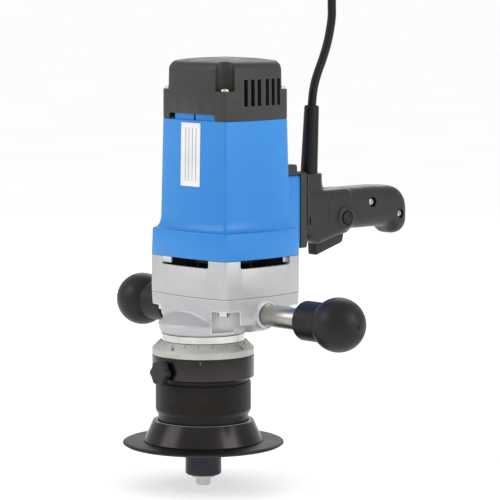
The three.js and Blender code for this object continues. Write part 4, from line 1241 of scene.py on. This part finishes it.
def shellBody(s):
    half = s["half"]
    obj = roundedSlab("handleBody", s["body"], half, s["bodyEdge"], 5)
    grip = roundedSlab("grip", s["grip"], half, s["gripEdge"], 7)
    turret = extruded("turret", s["turret"], "Z", s["turretFoot"], s["rim"][1])
    saddle = extruded("saddle", s["saddle"], "X", -8, 8)
    rim = block("rim", (-half, s["root"], s["turretFoot"]), (half, s["rim"][0], s["rim"][1]))
    alone(obj)
    for piece in (grip, turret, saddle, rim):
        piece.select_set(True)
    bpy.ops.object.join()
    remeshed(obj, s["grain"], s["rounds"])
    y, z = s["button"]
    bezel = turned("bezel", [
        (0, 8), (14.4, 8), (13.6, half - 0.8), (11, half + 2.2, 0.8), (9, half + 2.6, 0.5), (0, half + 2.6),
    ], 64)
    joined(obj, lying(bezel, y, z))
    rimProfile = [(0, half + 1.5), (7.6, half + 1.5), (9, half + 4), (0, half + 4)]
    room = s["triggerHalf"] + 0.4
    switchLow, switchHigh = nodeBox("switch_module")
    cuts = [
        block("seam", (-60, 60, 180), (60, s["start"], 340)),
        block("crown", (-60, 60, s["rim"][1]), (60, 200, 340)),
        block("room", (-room, 142.6, 212), (room, 195.5, 254)),
        block("switchRoom", (switchLow.x - 1, 146, 253), (switchHigh.x + 1, 206, 281)),
        lying(rod("buttonHole", s["buttonRadius"] + 0.4, 4, 30), y, z),
        lying(turned("buttonRim", rimProfile, 64), y, z),
    ]
    for y, z, radius in s["screws"]:
        cuts.append(lying(rod("screwHole", radius, 13, 30), y, z))
    y, z = s["slot"]
    cuts.append(bevelled(block("slot", (half - 5, y - 0.9, z - 4.2), (half + 3, y + 0.9, z + 4.2)), 0.6, 2))
    y, z, radius = s["ridge"]
    near, far = radius - 0.22, radius + 0.22
    ring = [(near, half - 0.5), (far, half - 0.5), (far, half + 1), (near, half + 1), (near, half - 0.5)]
    line = lying(turned("line", ring, 128), y, z)
    combined(line, "INTERSECT", [block("stretch", (0, y - radius - 4, z - 4), (half + 2, y - 20, z + 25))])
    cuts.append(line)
    return carved(obj, *cuts)


def makeShells(s):
    whole = shellBody(s)
    bootY = nodeBox("cord_boot")[0].y + s["bootRadius"]
    carved(whole, turnedTo(rod("bootRoom", s["bootHole"], 284, 320, 64), spot=(0, bootY, 0)))
    for side, name in ((1, "right"), (-1, "left")):
        alone(whole)
        bpy.ops.object.duplicate()
        obj = bpy.context.object
        obj.name = f"handleShell{name.title()}"
        bpy.ops.object.mode_set(mode="EDIT")
        bpy.ops.mesh.select_all(action="SELECT")
        bpy.ops.mesh.bisect(plane_co=(side * s["split"], 0, 0), plane_no=(side, 0, 0), use_fill=True,
                            clear_inner=True)
        bpy.ops.mesh.select_all(action="SELECT")
        bpy.ops.mesh.normals_make_consistent(inside=False)
        bpy.ops.object.mode_set(mode="OBJECT")
        finished(obj, "handle", "housing", [f"handle_shell_{name}"], 40)
    bpy.data.objects.remove(whole)


def makeHandleScrews(s):
    for i, (y, z) in enumerate(hole[:2] for hole in s["screws"]):
        screw = {"head": 4.4, "height": 2.2, "shank": 1.6, "length": 0.1, "slot": 1}
        obj = turnedTo(crossScrew(f"handleScrew{i + 1}", screw), spot=(0, 0, 13.3))
        finished(lying(obj, y, z), "bright", "housing", [f"handle_screw_{i + 1}"])


def makeTrigger(s):
    obj = extruded("trigger", s["trigger"], "X", -s["triggerHalf"], s["triggerHalf"])
    bevelled(obj, 1.1, 3, 50)
    return finished(obj, "dark", "trigger", ["trigger"])


def makeLockButton(s):
    low, high = nodeBox("lock_on_button")
    radius = s["buttonRadius"]
    obj = turned("lockButton", [
        (0, low.x), (radius, low.x), (radius, high.x, 0.9), (radius - 1.6, high.x, 0.2),
        (radius - 2, high.x - 0.3), (0, high.x - 0.5),
    ], 64)
    return finished(lying(obj, *s["button"]), "grip", "lock_on", ["lock_on_button"])


flangeSettings = {"hood": 2.2, "lugX": (-8, 12), "lugY": (104, 120)}


def makeFlange(s):
    low, high = nodeBox("handle_flange")
    start = nodeBox("motor_housing")[1].y + seam
    earTop = housingSettings["earTop"] + seam
    crest = earTop + s["hood"]
    outline = [(low.x, low.z, 3), (high.x, low.z, 3), (high.x, crest, 6), (low.x, crest, 6)]
    obj = extruded("handleFlange", outline, "Y", start, high.y)
    hood = block("hood", (low.x + 2, low.y, earTop), (high.x - 2, start + 2, crest))
    left, right = s["lugX"]
    outline = [(left, earTop + 1), (right, earTop + 1), (right, high.z, 3), (left, high.z, 3)]
    lug = extruded("lug", outline, "Y", *s["lugY"])
    cableWay = block("cableWay", (-9, start - 1, low.z + 28), (9, high.y + 1, earTop - 28))
    joined(obj, hood, lug)
    carved(obj, cableWay)
    bevelled(obj, 0.7, 3, 50)
    return finished(obj, "cover", "housing", ["handle_flange"])


makeShells(handleSettings)
makeHandleScrews(handleSettings)
makeTrigger(handleSettings)
makeLockButton(handleSettings)
makeFlange(flangeSettings)
print("switch handle done")


# strain relief, plug and the coil's strap
bootSettings = {"base": 8.9, "top": 7.5, "lean": 3.1, "seat": 4}


def makeBoot(s):
    low, high = nodeBox("cord_boot")
    base = nodeBox("handle_shell_right")[1].z + seam
    height = high.z - base
    bore = leadSettings["diameter"] / 2 + seam
    obj = turned("cordBoot", [
        (bore, -s["seat"]), (s["base"], -s["seat"]), (s["base"], 0), (s["top"] + 0.1, height - 2, 0.6),
        (s["top"] - 0.9, height, 0.3), (bore, height, 0.3), (bore, -s["seat"]),
    ], 96)
    turnedTo(obj, (-s["lean"], 0, 0), (0, low.y + s["base"], base))
    return finished(obj, "rubber", "housing", ["cord_boot"])


plugSettings = {
    "radius": 18,
    "body": 34,
    "relief": 26,
    "ribs": 5,
    "pin": 2.4,
    "pinLength": 19,
    "pinSpread": 9.5,
}


def makePlug(s):
    low, high = nodeBox("plug")
    spot = ((low.x + high.x) / 2, low.y + s["pinLength"], low.z + s["radius"])
    radius, body = s["radius"], s["body"]
    profile = [(0, 0), (radius - 1, 0, 0.6), (radius, 1.6, 0.6), (radius, 9, 0.6), (radius - 1.6, 10.4, 0.6)]
    for i in range(3):
        z = 13 + i * 4
        grip = radius - i
        profile += [(grip - 1.8, z, 0.4), (grip - 2.9, z + 1.1, 0.4), (grip - 2.2, z + 2.2, 0.4)]
    profile += [(radius - 6, body - 5, 3), (9, body, 1.5), (7.2, body + 1.2, 0.5)]
    pitch = (s["relief"] - 3) / s["ribs"]
    for i in range(s["ribs"]):
        outer = 7.2 - 0.28 * i
        z = body + 1.6 + i * pitch
        profile += [(outer, z), (outer - 0.2, z + pitch * 0.6, 0.2)]
        profile += [(outer - 1, z + pitch * 0.68, 0.2), (outer - 1, z + pitch * 0.94, 0.2)]
    profile += [(5.6, body + s["relief"], 0.3), (0, body + s["relief"])]
    plug = turned("plugBody", profile, 72)
    flats = []
    wells = []
    for sign in (-1, 1):
        edge = sign * radius
        flats.append(block("flat", (edge - 2.2, -3.4, -1), (edge + 2.2, 3.4, 20)))
        wells.append(turnedTo(rod("well", s["pin"] + 1, -1, 0.6, 32), spot=(sign * s["pinSpread"], 0, 0)))
    carved(plug, *flats, *wells)
    turnedTo(plug, (-90, 0, 0), spot)
    finished(plug, "rubber", "housing", ["plug"])
    pins = []
    for sign in (-1, 1):
        tip = arcPoints((0, -s["pinLength"] + s["pin"]), s["pin"], -90, 0, 6)
        pin = turned("pin", tip + [(s["pin"], 4), (0, 4)], 32)
        pins.append(turnedTo(pin, (-90, 0, 0), (spot[0] + sign * s["pinSpread"], spot[1], spot[2])))
    alone(pins[0])
    pins[1].select_set(True)
    bpy.ops.object.join()
    pins[0].name = "plugPins"
    finished(pins[0], "brass", "housing")
    return [plug, pins[0]]


strapSettings = {"angle": 60, "width": 9, "thick": 0.6, "slack": 0.3}


def makeStrap(s):
    low, high = nodeBox("cord_coil")
    centre = (low + high) / 2
    radius = leadSettings["diameter"] / 2
    places = leadSettings["layers"]
    inner = min(r for r, z in places) - radius - s["slack"]
    outer = max(r for r, z in places) + radius + s["slack"]
    foot = min(z for r, z in places) - radius
    crest = max(z for r, z in places) + radius + s["slack"]
    ledge = crest - 2 * radius - 0.6
    loops = []
    for grow in (s["thick"], 0):
        edge = 2.5 + grow
        bottom = foot - grow * 0.8
        middle = places[0][0]
        across = radius * 0.7 + grow
        outline = [
            (inner - grow, bottom, edge), (outer + grow, bottom, edge), (outer + grow, ledge + grow, edge),
            (middle + across, crest + grow, edge), (middle - across, crest + grow, edge),
            (inner - grow, ledge + grow, edge),
        ]
        wide = s["width"] / 2 + (0 if grow else 1)
        loops.append(extruded("coilStrap", outline, "Y", -wide, wide))
    obj = carved(*loops)
    buckle = block("buckle", (outer + 0.1, -4.4, 9), (outer + 2.2, 4.4, 17))
    bevelled(buckle, 0.7, 3)
    joined(obj, buckle)
    turnedTo(obj, (0, 0, s["angle"]), (centre.x, centre.y, 0))
    return finished(obj, "dark", "housing")


makeBoot(bootSettings)
leadPieces = makePlug(plugSettings) + [makeStrap(strapSettings)]
print("lead fittings done")


# pieces inside the casings keep their own shape
slotFinishes = {
    "black_plastic": "dark",
    "blue_plastic": "blue",
    "cast_alloy": "cast",
    "black_steel": "black",
    "bright_steel": "bright",
    "scale_metal": "scale",
    "rubber": "rubber",
    "label": "label",
    "copper_wire": "copper",
    "lamination": "lamination",
    "carbon": "carbon",
    "cutter_steel": "cutter",
    "insert_coating": "insert",
    "roller_steel": "roller",
}
for subpart in frame["record"]["subparts"]:
    node = frame["nodes"][subpart["node"]]
    if not node.hide_render:
        node.data.materials.clear()
        node.data.materials.append(finishes[slotFinishes[subpart["material_slot"]]])


# studio
studioSettings = {
    "floor": 90,
    "floorGlow": 0.5,
    "sky": 0.72,
    "lights": [
        ("rightLight", (2.1, 0.7, 1.2), 1.3, 16),
        ("frontLight", (-1.1, -1.9, 1.5), 1.4, 15),
        ("backLight", (-1.4, 1.6, 1.4), 1.4, 10),
    ],
}


def makeFloor(s):
    bpy.ops.object.select_all(action="DESELECT")
    bpy.ops.mesh.primitive_plane_add(size=s["floor"])
    floor = bpy.context.object
    floor.name = "floor"
    material, tree, shader = startMaterial("floorPaper", Roughness=0.85, Emission_Strength=s["floorGlow"])
    paper = noise(tree, objectPoint(tree), 3, 2)
    tree.links.new(ramp(tree, paper, fromHex("cdcdcd"), fromHex("d3d3d3")), shader.inputs["Base Color"])
    shader.inputs["Emission Color"].default_value = (1, 1, 1, 1)
    floor.data.materials.append(material)


def makeLights(s):
    middle = Vector((0, 0, 0.25))
    for name, spot, size, power in s["lights"]:
        bpy.ops.object.light_add(type="AREA", location=spot)
        light = bpy.context.object
        light.name = name
        light.rotation_euler = (Vector(spot) - middle).to_track_quat("Z", "Y").to_euler()
        light.data.size = size
        light.data.energy = power
    world = bpy.data.worlds.new("studio")
    bpy.context.scene.world = world
    world.use_nodes = True
    world.node_tree.nodes["Background"].inputs["Color"].default_value = (1, 1, 1, 1)
    world.node_tree.nodes["Background"].inputs["Strength"].default_value = s["sky"]
    bpy.context.scene.view_settings.view_transform = "Standard"


makeFloor(studioSettings)
makeLights(studioSettings)
print("studio lit")
